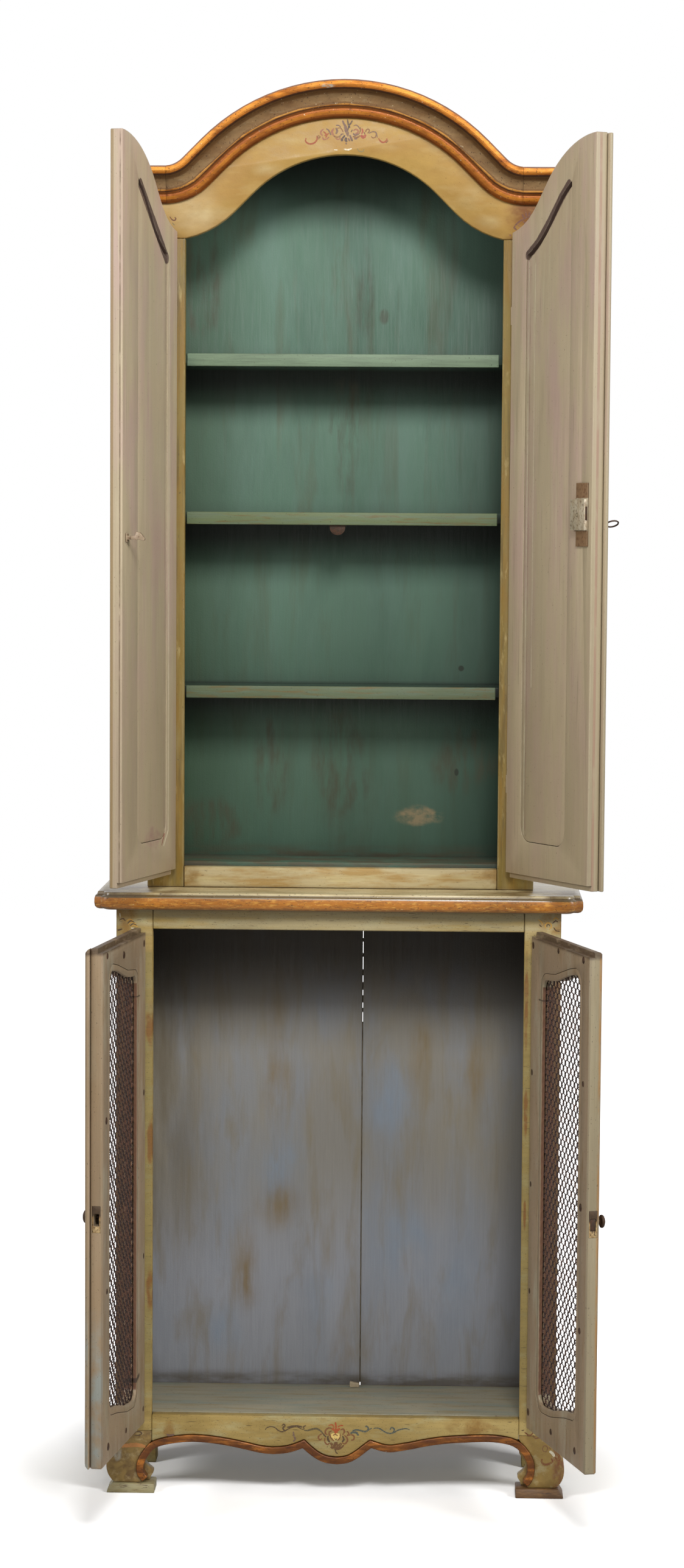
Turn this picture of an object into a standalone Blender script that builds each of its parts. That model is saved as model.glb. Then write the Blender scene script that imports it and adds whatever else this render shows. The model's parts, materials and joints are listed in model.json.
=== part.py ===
"""Painted two-part cupboard with a bonnet top, modelled in metres with +Z up.

The upper case has an arched face frame, a swept cornice, three shelves and two
arched doors. The base has two doors with wire netting, a shaped apron with a
bead, scroll feet and a moulded top. The doors stand open, as photographed.
"""

import math

import bmesh
import bpy
from mathutils import Matrix, Vector

fit_gap = 0.0003
overrun = 0.004
edge_ease = 0.0012

# Both cases
case_back_y = 0.237
back_thickness = 0.010
frame_thickness = 0.020
shelf_thickness = 0.016

# Base case
base_half_width = 0.353
base_stile_width = 0.058
base_opening_bottom_share = 1.27
base_case_top = 0.943
base_rail_height = 0.032
base_side_thickness = 0.016
base_floor_thickness = 0.018
base_floor_rise = 0.001
back_joint_x = 0.034
back_joint_gap = 0.0016
foot_height = 0.100

# Base top
top_thickness = 0.028
top_side_overhang = 0.034
top_front_overhang = 0.029
top_rear_overhang = 0.003
top_corner_notch = 0.010
top_notch_depth = 0.017
top_corner_radius = 0.012
top_edge_round = 0.008
# Height and inset of each line of the edge moulding, as shares of the thickness and of the round
top_edge_shares = (
    (0.00, 1.00),
    (0.06, 0.45),
    (0.18, 0.10),
    (0.36, 0.00),
    (0.62, 0.02),
    (0.78, 0.20),
    (0.82, 0.56),
    (0.97, 0.62),
    (1.00, 0.80),
)

# Apron, bead and feet
apron_end_lap = 0.004
apron_drop_share = 0.771
bead_width = 0.0115
bead_proud = 0.003
foot_depth = 0.038
foot_front_set = 0.001
foot_bulge = 0.0147
block_height_share = 0.15
block_width = 0.077
block_side_set = 0.014
block_depth = 0.050
block_front_set = 0.008
block_splay = 0.008
# Height of each line of a foot block, and its slope inwards, as shares of the height and splay
block_side_shares = (
    (0.00, 0.00),
    (0.30, 0.15),
    (1.00, 1.00),
)
rear_foot_width = 0.050
rear_foot_depth = 0.045
# Lower edge of the bead from the middle to the cusp, and from there to the end of the foot's
# scroll, as shares of the half width and of the drop. The carver made the two sides differ.
apron_middle_share = 0.011
apron_left_drop_shares = (
    (0.036, 0.984),
    (0.073, 0.943),
    (0.110, 0.868),
    (0.148, 0.756),
    (0.173, 0.667),
)
apron_left_sweep_shares = (
    (0.173, 0.667),
    (0.207, 0.721),
    (0.259, 0.777),
    (0.333, 0.804),
    (0.408, 0.776),
    (0.482, 0.713),
    (0.569, 0.643),
    (0.676, 0.584),
    (0.763, 0.567),
    (0.823, 0.580),
    (0.886, 0.615),
    (0.941, 0.667),
    (0.975, 0.733),
    (0.998, 0.843),
    (1.018, 0.960),
    (1.029, 1.083),
    (1.030, 1.180),
    (1.022, 1.258),
    (1.007, 1.323),
)
apron_right_drop_shares = (
    (0.053, 0.982),
    (0.090, 0.939),
    (0.134, 0.834),
    (0.172, 0.715),
    (0.195, 0.646),
)
apron_right_sweep_shares = (
    (0.195, 0.646),
    (0.231, 0.691),
    (0.261, 0.719),
    (0.298, 0.732),
    (0.334, 0.715),
    (0.408, 0.664),
    (0.482, 0.601),
    (0.585, 0.537),
    (0.686, 0.506),
    (0.786, 0.486),
    (0.853, 0.490),
    (0.912, 0.519),
    (0.956, 0.571),
    (0.992, 0.674),
    (1.025, 0.869),
    (1.033, 0.999),
    (1.032, 1.128),
    (1.022, 1.245),
    (1.007, 1.316),
)
# Outer side of a scroll foot, as shares of the bulge and of the foot's height
foot_outer_shares = (
    (0.00, 1.00),
    (0.02, 0.90),
    (0.12, 0.84),
    (0.40, 0.77),
    (0.68, 0.70),
    (0.90, 0.60),
    (1.00, 0.50),
    (1.00, 0.40),
    (0.88, 0.31),
    (0.62, 0.235),
    (0.30, 0.180),
    (0.05, 0.158),
)
# Inner lobe of a scroll foot, as shares of the apron's half width and of the foot's height
foot_lobe_shares = (
    (0.990, 0.670),
    (1.013, 0.570),
    (1.028, 0.500),
    (1.023, 0.430),
    (1.003, 0.360),
    (0.985, 0.318),
    (0.982, 0.275),
    (0.993, 0.220),
    (1.000, 0.158),
)

# Upper case
upper_set_back = 0.072
upper_half_width = 0.3095
upper_stile_width = 0.058
upper_rail_height = 0.0331
upper_rise = 1.2187
upper_side_thickness = 0.0145
upper_side_rise = 0.045
upper_floor_lift = 0.0063
roof_thickness = 0.010
# Height of each shelf above the opening's lower edge, as shares of the height to the crown
shelf_front_shares = (0.6900, 0.4783, 0.2440)
facing_height = 0.020
facing_thickness = 0.005
facing_set_back = 0.030
facing_left_gap = 0.001
facing_right_gap = 0.0055
upper_floor_set_back = 0.004

# Bonnet curve, which the lower edge of the cornice follows. Its shares are of the upper case's
# half width.
crown_radius_share = 0.8465
crown_angle = math.radians(45)
bonnet_straight_share = 0.1347
flare_radius_share = 0.3176
frieze_width = 0.057
crown_steps = 12
flare_steps = 5

# Cornice: height and projection, and its section as shares of them
cornice_height = 0.057
cornice_projection = 0.037
cornice_joint_set = 0.0285
cornice_section_shares = (
    (0.00, 0.00),
    (0.10, 0.00),
    (0.23, 0.05),
    (0.31, 0.13),
    (0.33, 0.22),
    (0.30, 0.27),
    (0.41, 0.28),
    (0.41, 0.32),
    (0.46, 0.33),
    (0.46, 0.38),
    (0.47, 0.46),
    (0.51, 0.56),
    (0.58, 0.64),
    (0.70, 0.70),
    (0.82, 0.72),
    (0.94, 0.77),
    (1.00, 0.86),
    (0.94, 0.95),
    (0.78, 1.00),
    (0.00, 1.00),
)

# Doors
door_thickness = 0.020
door_clearance = 0.0005
door_meeting_gap = 0.001
door_rebate_depth = 0.008
upper_overlay = 0.012
lower_overlay = 0.011
lower_bottom_overlay = 0.0125
lower_top_overlay = 0.0025
upper_rebate_height = 0.009
lower_rebate_height = 0.0075
upper_left_open = math.radians(104.2)
upper_right_open = math.radians(117.8)
lower_left_open = math.radians(97.5)
lower_right_open = math.radians(105.6)
astragal_width = 0.020
astragal_thickness = 0.007
astragal_lap = 0.007

# Upper door panels
upper_hinge_stile = 0.048
upper_meeting_stile = 0.073
upper_bottom_rail = 0.062
upper_top_rail = 0.050
panel_groove = 0.0012
panel_slot = 0.007
panel_outer_set = 0.003
panel_inner_set = 0.0012
panel_tongue = 0.008
panel_corner_radius = 0.026
corner_steps = 5

# Lower door openings and their netting
lower_hinge_stile = 0.062
lower_meeting_stile = 0.050
lower_bottom_rail = 0.0555
lower_top_rail = 0.0675
net_opening_rise = 0.026
net_opening_lift = 0.024
net_corner_radius = 0.020
rebate_width = 0.011
rebate_depth = 0.008
net_thickness = 0.0012
net_wire = 0.0013
net_cell_width = 0.038
net_cell_height = 0.046
bead_slack = 0.0004
# Height of the shaped top edge between its two ends, as shares of the width and of the rise
net_edge_shares = (
    (0.00, 0.00),
    (0.18, 0.02),
    (0.36, 0.16),
    (0.52, 0.46),
    (0.70, 0.80),
    (0.86, 0.96),
    (1.00, 1.00),
)

# Hinges
pin_offset = 0.0033
pin_forward = 0.0050
knuckle_radius = 0.0030
leaf_thickness = 0.0012
pin_radius = 0.0014
pin_head_radius = 0.0024
pin_head_height = 0.003
knuckle_length = 0.028
door_leaf_width = 0.012
frame_leaf_width = 0.012
leaf_let_in = 0.0006
roll_angle = math.radians(300)
roll_steps = 10
# Height of each hinge above its opening's lower edge, as shares of the height to the crown
# and of the base's opening
upper_hinge_shares = (0.0804, 0.7045)
lower_hinge_shares = (0.0931, 0.8329)

# Lock and key of the upper doors
lock_drop = 0.010
lock_height = 0.047
lock_width = 0.043
lock_thickness = 0.0075
lock_edge_set = 0.0100
lock_plate_drop = 0.035
lock_plate_height = 0.097
lock_plate_width = 0.035
lock_plate_thickness = 0.002
lock_plate_set = 0.0100
bolt_lift = 0.0055
bolt_height = 0.020
bolt_thickness = 0.0032
bolt_length = 0.030
bolt_slack = 0.0004
key_height_share = 0.4650
key_set = 0.030
key_stem_radius = 0.0021
key_hole_radius = 0.0027
key_bow_length = 0.023
key_bow_height = 0.019
key_wire_radius = 0.0013
key_stand = 0.022
key_turn = math.radians(-55)

# Elbow catch and its strike under the middle shelf
catch_drop = 0.0418
catch_inset = 0.020
catch_plate_width = 0.012
catch_plate_height = 0.013
catch_plate_thickness = 0.0018
catch_ear = 0.003
catch_ear_gap = 0.0006
catch_lever_width = 0.007
catch_reach = 0.0295
catch_tail = 0.0028
catch_hook_rise = 0.0089
strike_width = 0.025
strike_depth = 0.014
strike_drop = 0.020
strike_thickness = 0.003
strike_x = -0.009
strike_set = 0.001
# Side view of the lever, as shares of its length and of the hook's rise
catch_lever_shares = (
    (0.00, -0.11),
    (0.14, -0.25),
    (0.48, -0.39),
    (0.69, -0.28),
    (0.76, -0.34),
    (0.86, -0.49),
    (0.98, -0.45),
    (1.00, -0.11),
    (0.93, 0.22),
    (0.84, 0.56),
    (0.72, 0.90),
    (0.55, 1.00),
    (0.47, 0.90),
    (0.45, 0.39),
    (0.28, 0.25),
    (0.00, 0.13),
)

# Knobs and latch of the lower doors
knob_height_share = 0.4758
knob_inset = 0.024
knob_radius = 0.0105
knob_projection = 0.0155
knob_stem_radius = 0.0030
knob_hole_radius = 0.0036
# Radius and stand of the knob's profile, as shares of its radius and projection
knob_profile_shares = (
    (0.42, 0.00),
    (0.42, 0.10),
    (0.28, 0.18),
    (0.26, 0.42),
    (0.45, 0.52),
    (0.92, 0.58),
    (1.00, 0.72),
    (0.86, 0.88),
    (0.50, 0.98),
)
latch_plate_width = 0.013
latch_plate_height = 0.041
latch_plate_thickness = 0.0015
latch_hole_height = 0.019
latch_hole_width = 0.009
latch_hole_rise = 0.010
latch_depth = 0.030
latch_bolt_slack = 0.0004
latch_bolt_set = 0.001

round_segments = 16
small_segments = 10
wire_segments = 6

# Places that follow from the sizes above
base_opening_half = base_half_width - base_stile_width
base_inner_half = base_half_width - base_side_thickness
base_opening_bottom = base_opening_bottom_share * foot_height
block_height = block_height_share * foot_height
base_opening_top = base_case_top - base_rail_height
base_top_z = base_case_top + fit_gap
base_top_surface = base_top_z + top_thickness
base_floor_top = base_opening_bottom + base_floor_rise
top_half_width = base_half_width + top_side_overhang
apron_half_width = base_opening_half + apron_end_lap
apron_drop = apron_drop_share * foot_height
block_outer_x = base_half_width + block_side_set
back_front_y = case_back_y - back_thickness
upper_front_y = upper_set_back
upper_frame_back_y = upper_front_y + frame_thickness
upper_bottom_z = base_top_surface + fit_gap
upper_opening_bottom = upper_bottom_z + upper_rail_height
upper_floor_top = upper_opening_bottom + upper_floor_lift
upper_opening_half = upper_half_width - upper_stile_width
upper_inner_half = upper_half_width - upper_side_thickness
crown_radius = crown_radius_share * upper_half_width
bonnet_straight = bonnet_straight_share * upper_half_width
flare_radius = flare_radius_share * upper_half_width
crown_height = upper_bottom_z + upper_rise
crown_lift = crown_height - upper_opening_bottom
shelf_fronts = [upper_opening_bottom + share * crown_lift for share in shelf_front_shares]
upper_hinge_heights = [upper_opening_bottom + share * crown_lift for share in upper_hinge_shares]
key_height = upper_opening_bottom + key_height_share * crown_lift
lock_bottom = key_height - lock_drop
lock_plate_bottom = key_height - lock_plate_drop
bolt_bottom = key_height + bolt_lift
catch_height = shelf_fronts[1] - catch_drop
base_opening_height = base_opening_top - base_opening_bottom
lower_door_bottom = base_opening_bottom - lower_bottom_overlay
lower_door_top = base_opening_top + lower_top_overlay
lower_hinge_lifts = [share * base_opening_height for share in lower_hinge_shares]
lower_hinge_heights = [base_opening_bottom + lift for lift in lower_hinge_lifts]
knob_height = base_opening_bottom + knob_height_share * base_opening_height
net_opening_bottom = lower_door_bottom + lower_bottom_rail
net_opening_top = lower_door_top - lower_top_rail
cornice_joint_x = upper_half_width - cornice_joint_set
facing_front_y = upper_front_y + facing_set_back
shelf_front_y = facing_front_y + facing_thickness + fit_gap
crown_centre_z = crown_height - crown_radius
centre_distance = crown_radius + flare_radius
flare_centre_x = centre_distance * math.sin(crown_angle) + bonnet_straight * math.cos(crown_angle)
flare_drop = bonnet_straight * math.sin(crown_angle)
flare_centre_z = crown_centre_z + centre_distance * math.cos(crown_angle) - flare_drop
bonnet_end_z = flare_centre_z - flare_radius
upper_side_top = bonnet_end_z + upper_side_rise


def clear_scene():
    for item in list(bpy.data.objects):
        bpy.data.objects.remove(item, do_unlink=True)


def make_material(name, colour, roughness, metallic=0.0):
    material = bpy.data.materials.new(name)
    material.use_nodes = True
    shader = material.node_tree.nodes["Principled BSDF"]
    shader.inputs["Base Color"].default_value = (*colour, 1.0)
    shader.inputs["Roughness"].default_value = roughness
    shader.inputs["Metallic"].default_value = metallic
    return material


def place_in_case(item):
    """Where an empty lies while every door is shut, which is how each piece is drawn."""
    place = Vector((0.0, 0.0, 0.0))
    while item:
        place += item.location
        item = item.parent
    return place


def make_empty(name, place, turn=0.0, parent=None):
    empty = bpy.data.objects.new(name, None)
    empty.location = Vector(place) - place_in_case(parent)
    empty.rotation_euler = (0.0, 0.0, turn)
    empty.parent = parent
    empty.empty_display_size = block_width
    bpy.context.scene.collection.objects.link(empty)
    return empty


def make_object(name, bm, material, parent, smooth=False, cutter=False):
    """Turns a bmesh drawn in case coordinates into an object at its parent's origin."""
    bmesh.ops.remove_doubles(bm, verts=bm.verts, dist=fit_gap * 0.01)
    bmesh.ops.recalc_face_normals(bm, faces=bm.faces)
    mesh = bpy.data.meshes.new(name)
    bm.to_mesh(mesh)
    bm.free()
    mesh.transform(Matrix.Translation(-place_in_case(parent)))
    mesh.materials.append(material)
    item = bpy.data.objects.new(name, mesh)
    item.parent = parent
    bpy.context.scene.collection.objects.link(item)
    if smooth:
        mesh.shade_smooth()
        mesh.set_sharp_from_angle(angle=math.radians(40))
    if cutter:
        item.hide_render = True
        item.display_type = "WIRE"
    return item


def cut(item, cutter, operation="DIFFERENCE"):
    boolean = item.modifiers.new(cutter.name, "BOOLEAN")
    boolean.object = cutter
    boolean.operation = operation
    boolean.solver = "EXACT"


def ease_edges(item, width, segments=1):
    bevel = item.modifiers.new("eased edges", "BEVEL")
    bevel.width = width
    bevel.segments = segments
    bevel.limit_method = "ANGLE"
    bevel.angle_limit = math.radians(50)


def box_mesh(low, high, bm=None):
    bm = bm or bmesh.new()
    corners = []
    for x in (low[0], high[0]):
        for y in (low[1], high[1]):
            corners += [bm.verts.new((x, y, z)) for z in (low[2], high[2])]
    for ring in ((0, 1, 3, 2), (4, 6, 7, 5), (0, 4, 5, 1), (2, 3, 7, 6), (0, 2, 6, 4), (1, 5, 7, 3)):
        bm.faces.new([corners[index] for index in ring])
    return bm


def loft_mesh(rings, bm=None):
    """Joins rings of equal length with quads and closes both ends."""
    bm = bm or bmesh.new()
    loops = [[bm.verts.new(point) for point in ring] for ring in rings]
    for lower, upper in zip(loops, loops[1:]):
        for index, vertex in enumerate(lower):
            after = (index + 1) % len(lower)
            bm.faces.new((vertex, lower[after], upper[after], upper[index]))
    bm.faces.new(loops[0])
    bm.faces.new(loops[-1])
    return bm


def outline_mesh(outline, near, far, bm=None):
    """Extrudes an outline in X and Z between two depths in Y."""
    return loft_mesh([[(x, depth, z) for x, z in outline] for depth in (near, far)], bm)


def plan_mesh(outline, low, high, bm=None):
    """Extrudes an outline in X and Y between two heights."""
    return loft_mesh([[(x, y, height) for x, y in outline] for height in (low, high)], bm)


def turned_mesh(profile, centre, axis, segments, bm=None):
    """Turns a profile of (radius, stand) about an axis through a centre."""
    turn = Vector((0.0, 0.0, 1.0)).rotation_difference(Vector(axis)).to_matrix()
    rings = []
    for radius, stand in profile:
        ring = []
        for step in range(segments):
            angle = math.tau * step / segments
            point = Vector((radius * math.cos(angle), radius * math.sin(angle), stand))
            ring.append(Vector(centre) + turn @ point)
        rings.append(ring)
    return loft_mesh(rings, bm)


def mirrored(outline, side):
    return [(side * x, y) for x, y in outline]


def bonnet_points(offset, end_x):
    """Half of a curve parallel to the bonnet curve, from the crown out to end_x."""
    crown = crown_radius + offset
    flare = flare_radius - offset
    points = []
    for step in range(crown_steps + 1):
        angle = crown_angle * step / crown_steps
        points.append((crown * math.sin(angle), crown_centre_z + crown * math.cos(angle)))
    last_angle = 0.0
    if end_x < flare_centre_x:
        last_angle = math.asin((flare_centre_x - end_x) / flare)
    for step in range(flare_steps + 1):
        angle = crown_angle + (last_angle - crown_angle) * step / flare_steps
        points.append((flare_centre_x - flare * math.sin(angle), flare_centre_z - flare * math.cos(angle)))
    if end_x > flare_centre_x:
        points.append((end_x, flare_centre_z - flare))
    return points


def whole_bonnet(offset, end_x):
    half = bonnet_points(offset, end_x)
    return [(-x, z) for x, z in reversed(half)] + half[1:]


def smooth_points(points, steps):
    """A curve through the points, with some steps between each two."""
    ends = [points[0], *points, points[-1]]
    found = [points[0]]
    for before, start, end, after in zip(ends, ends[1:], ends[2:], ends[3:]):
        for step in range(1, steps + 1):
            t = step / steps
            point = []
            for a, b, c, d in zip(before, start, end, after):
                slope = (c - a) * t
                bend = (2 * a - 5 * b + 4 * c - d) * t * t
                point.append(0.5 * (2 * b + slope + bend + (3 * b - a - 3 * c + d) * t**3))
            found.append(tuple(point))
    return found


def offset_path(path, distance):
    """Moves an open path sideways, to its left, with its corners kept from running away."""
    moved = []
    for index, point in enumerate(path):
        before = Vector(path[max(index - 1, 0)])
        after = Vector(path[min(index + 1, len(path) - 1)])
        here = Vector(point)
        sides = [end for end in ((here - before), (after - here)) if end.length > 0]
        normals = [Vector((-end.y, end.x)).normalized() for end in sides]
        normal = sum(normals, Vector((0.0, 0.0))).normalized()
        stretch = min(1 / max(normal.dot(normals[0]), 0.5), 1.5)
        moved.append(tuple(here + normal * distance * stretch))
    return moved


def rounded_corner(centre, radius, start, end):
    """Points of an arc, for the corner of an outline."""
    points = []
    for step in range(corner_steps + 1):
        angle = start + (end - start) * step / corner_steps
        points.append((centre[0] + radius * math.cos(angle), centre[1] + radius * math.sin(angle)))
    return points


def bead_lower_path():
    """Lower edge of the bead, from one foot's scroll to the other's."""
    middle = (apron_middle_share, 1.0)
    halves = []
    for side, drop, sweep in (
        (-1, apron_left_drop_shares, apron_left_sweep_shares),
        (1, apron_right_drop_shares, apron_right_sweep_shares),
    ):
        lobe = [(middle[0], middle[1])] + [(side * x, z) for x, z in drop]
        swept = [(side * x, z) for x, z in sweep]
        shares = smooth_points(lobe, 2) + smooth_points(swept, 2)[1:]
        halves.append([(x * apron_half_width, base_opening_bottom - z * apron_drop) for x, z in shares])
    return halves[0][::-1] + halves[1][1:]


def upper_part(path, limit):
    return [(x, z) for x, z in path if abs(x) <= limit]


def build_base(root, paints):
    body = paints["base"]
    inside = paints["base interior"]
    stiles = {}
    for side, word in ((-1, "left"), (1, "right")):
        near, far = sorted((side * base_inner_half, side * base_half_width))
        bm = box_mesh(
            (near, frame_thickness + fit_gap, foot_height + fit_gap), (far, case_back_y, base_case_top)
        )
        make_object(f"base_side_{word}", bm, body, root)
        near, far = sorted((side * base_opening_half, side * base_half_width))
        bm = box_mesh((near, 0.0, foot_height + fit_gap), (far, frame_thickness, base_case_top))
        stiles[side] = make_object(f"base_stile_{word}", bm, body, root)
        ease_edges(stiles[side], edge_ease)
    reach = base_opening_half - fit_gap
    bm = box_mesh((-reach, 0.0, base_opening_top), (reach, frame_thickness, base_case_top))
    ease_edges(make_object("base_top_rail", bm, body, root), edge_ease)

    reach = base_inner_half - fit_gap
    floor_low = base_floor_top - base_floor_thickness
    bm = box_mesh(
        (-reach, frame_thickness + fit_gap, floor_low), (reach, back_front_y - fit_gap, base_floor_top)
    )
    make_object("base_floor", bm, paints["floor"], root)
    for word, low, high in (
        ("left", -reach, back_joint_x - back_joint_gap / 2),
        ("right", back_joint_x + back_joint_gap / 2, reach),
    ):
        bm = box_mesh((low, back_front_y, foot_height + fit_gap), (high, case_back_y, base_case_top))
        make_object(f"base_back_board_{word}", bm, inside, root)
    return stiles


def top_plan(inset):
    """Plan of the base top, drawn in by an inset."""
    side_x = top_half_width - inset
    front_y = -top_front_overhang + inset
    notch_x = side_x - top_corner_notch
    notch_y = front_y + top_notch_depth
    half = rounded_corner(
        (notch_x - top_corner_radius, front_y + top_corner_radius), top_corner_radius, -math.pi / 2, 0.0
    )
    half += [(notch_x, notch_y), (side_x, notch_y), (side_x, case_back_y + top_rear_overhang - inset)]
    return half + [(-x, y) for x, y in reversed(half)]


def build_base_top(root, paints):
    rings = []
    for height, inset in top_edge_shares:
        level = base_top_z + height * top_thickness
        rings.append([(x, y, level) for x, y in top_plan(inset * top_edge_round)])
    make_object("base_top", loft_mesh(rings), paints["base top"], root)


def build_apron_and_feet(root, paints):
    path = bead_lower_path()
    bead_top = offset_path(path, bead_width)
    bm = outline_mesh(path + bead_top[::-1], -bead_proud, frame_thickness - edge_ease)
    ease_edges(make_object("apron_bead", bm, paints["gilt"], root), edge_ease)

    reach = base_opening_half - fit_gap
    wood_edge = offset_path(path, bead_width + fit_gap)
    edge = upper_part(wood_edge, reach)
    start, end = (-reach, edge[0][1]), (reach, edge[-1][1])
    outline = [(-reach, base_opening_bottom), start, *edge, end, (reach, base_opening_bottom)]
    bm = outline_mesh(outline, 0.0, frame_thickness)
    make_object("apron", bm, paints["base"], root)

    for side, word, joint in ((-1, "left", start), (1, "right", end)):
        inner_edge = [(side * x, z) for x, z in wood_edge[::side] if side * x > reach + fit_gap]
        outer = [
            (base_half_width + out * foot_bulge, z * foot_height) for out, z in foot_outer_shares
        ]
        outer = smooth_points(outer, 2)
        front = [(reach + 2 * fit_gap, foot_height), *outer[1:], (inner_edge[-1][0], outer[-1][1])]
        front[1:1] = [(base_half_width, foot_height)]
        front += [point for point in inner_edge[::-1] if point[1] > outer[-1][1]]
        front += [(reach + 2 * fit_gap, joint[1])]
        lobe = smooth_points([(x * apron_half_width, z * foot_height) for x, z in foot_lobe_shares], 2)
        back = [(reach + 2 * fit_gap, foot_height), (base_half_width, foot_height), *outer[1:]]
        back += lobe[::-1]
        split_y = frame_thickness - edge_ease + fit_gap
        scroll = make_object(
            f"front_foot_{word}",
            outline_mesh(mirrored(front, side), foot_front_set, split_y + overrun),
            paints["base"],
            root,
        )
        lobe_solid = make_object(
            f"foot_lobe_{word}",
            outline_mesh(mirrored(back, side), split_y, foot_depth),
            paints["base"],
            root,
            cutter=True,
        )
        cut(scroll, lobe_solid, "UNION")

    for side, word in ((-1, "left"), (1, "right")):
        rings = []
        for height, splay in block_side_shares:
            level = height * block_height
            outer = block_outer_x - splay * block_splay
            near, far = sorted((side * (block_outer_x - block_width), side * outer))
            front = -block_front_set + splay * block_splay / 3
            back = block_depth - block_front_set
            plan = [(near, front), (far, front), (far, back), (near, back)]
            rings.append([(x, y, level) for x, y in plan])
        make_object(f"foot_block_{word}", loft_mesh(rings), paints["base"], root)
        low_x, high_x = sorted((side * (base_half_width - rear_foot_width), side * base_half_width))
        bm = box_mesh((low_x, case_back_y - rear_foot_depth, 0.0), (high_x, case_back_y, foot_height))
        make_object(f"rear_foot_{word}", bm, paints["base"], root)


def build_upper_case(root, paints):
    body = paints["upper"]
    inside = paints["interior"]
    stiles = {}
    spring_z = bonnet_points(-frieze_width, upper_opening_half)[-1][1]
    for side, word in ((-1, "left"), (1, "right")):
        near, far = sorted((side * upper_inner_half, side * upper_half_width))
        board_front = upper_frame_back_y + fit_gap
        bm = box_mesh((near, board_front, upper_bottom_z), (far, case_back_y, upper_side_top))
        make_object(f"upper_side_{word}", bm, body, root)
        near, far = sorted((side * upper_opening_half, side * upper_half_width))
        stile_top = spring_z - fit_gap
        bm = box_mesh((near, upper_front_y, upper_bottom_z), (far, upper_frame_back_y, stile_top))
        stiles[side] = make_object(f"upper_stile_{word}", bm, body, root)
        ease_edges(stiles[side], edge_ease)

    reach = upper_opening_half - fit_gap
    bm = box_mesh(
        (-reach, upper_front_y, upper_bottom_z), (reach, upper_frame_back_y, upper_opening_bottom)
    )
    ease_edges(make_object("upper_bottom_rail", bm, body, root), edge_ease)

    lower_edge = whole_bonnet(-frieze_width, upper_opening_half)
    upper_edge = whole_bonnet(upper_side_rise, upper_half_width)
    outline = [(-upper_half_width, spring_z), *lower_edge, (upper_half_width, spring_z)]
    outline += upper_edge[::-1]
    bm = outline_mesh(outline, upper_front_y, upper_frame_back_y)
    make_object("upper_arched_rail", bm, body, root)

    reach = upper_inner_half - fit_gap
    roof = whole_bonnet(0.0, reach)
    roof += whole_bonnet(roof_thickness, reach)[::-1]
    bm = outline_mesh(roof, upper_frame_back_y + fit_gap, case_back_y)
    make_object("upper_roof", bm, inside, root)

    back = [(-reach, upper_bottom_z), *whole_bonnet(-fit_gap, reach), (reach, upper_bottom_z)]
    bm = outline_mesh(back, back_front_y, case_back_y)
    make_object("upper_back", bm, inside, root)

    floor_low = upper_floor_top - shelf_thickness
    board_back = back_front_y - fit_gap
    floor_front = upper_frame_back_y + upper_floor_set_back
    bm = box_mesh((-reach, floor_front, floor_low), (reach, board_back, upper_floor_top))
    make_object("upper_floor", bm, inside, root)

    for number, front_z in enumerate(shelf_fronts, 1):
        board_low = front_z - shelf_thickness
        bm = box_mesh((-reach, shelf_front_y, board_low), (reach, board_back, front_z))
        make_object(f"upper_shelf_{number}", bm, inside, root)
        bm = box_mesh(
            (-upper_opening_half + facing_left_gap, facing_front_y, front_z - facing_height),
            (upper_opening_half - facing_right_gap, facing_front_y + facing_thickness, front_z),
        )
        make_object(f"shelf_facing_{number}", bm, paints["facing"], root)
    return stiles


def cornice_section():
    return [(out * cornice_projection + fit_gap, up * cornice_height) for out, up in cornice_section_shares]


def build_cornice(root, paints):
    section = cornice_section()
    joint = cornice_joint_x
    stations = len(bonnet_points(0.0, joint))
    rings = []
    for side in (-1, 1):
        order = range(stations)[::-1] if side < 0 else range(1, stations)
        for index in order:
            ring = []
            for out, up in section:
                x, z = bonnet_points(up, joint)[index]
                ring.append((side * x, upper_front_y - out, z))
            rings.append(ring)
    make_object("cornice_arch", loft_mesh(rings), paints["gilt"], root)

    for side, word in ((-1, "left"), (1, "right")):
        rings = []
        for place in ("joint", "mitre", "rear"):
            ring = []
            for out, up in section:
                height = bonnet_end_z + up
                if place == "joint":
                    start_z = bonnet_points(up, joint + fit_gap)[-1][1]
                    ring.append((side * (joint + fit_gap), upper_front_y - out, start_z))
                if place == "mitre":
                    ring.append((side * (upper_half_width + out), upper_front_y - out, height))
                if place == "rear":
                    ring.append((side * (upper_half_width + out), case_back_y, height))
            rings.append(ring)
        make_object(f"cornice_return_{word}", loft_mesh(rings), paints["gilt"], root)


def door_leaf_plan():
    """The door's leaf in plan: a roll about the pin and a plate let into the door's edge."""
    outer = []
    inner = []
    bore = knuckle_radius - leaf_thickness
    for step in range(roll_steps + 1):
        angle = roll_angle * step / roll_steps
        outer.append((knuckle_radius * math.cos(angle), knuckle_radius * math.sin(angle)))
        inner.append((bore * math.cos(angle), bore * math.sin(angle)))
    seat = pin_offset + leaf_let_in
    return outer + inner[::-1] + [(bore, -door_leaf_width), (seat, -door_leaf_width), (seat, 0.0)]


def frame_leaf_plan():
    """The frame's leaf in plan: a web from the knuckle to a plate let into the stile."""
    seat = pin_forward + leaf_let_in
    face = pin_forward - leaf_thickness
    half = leaf_thickness / 2
    web = [(half, half), (half, seat)]
    plate = [(-frame_leaf_width, seat), (-frame_leaf_width, face)]
    return [*web, *plate, (-pin_offset, face), (-half * 4, half)]


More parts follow.
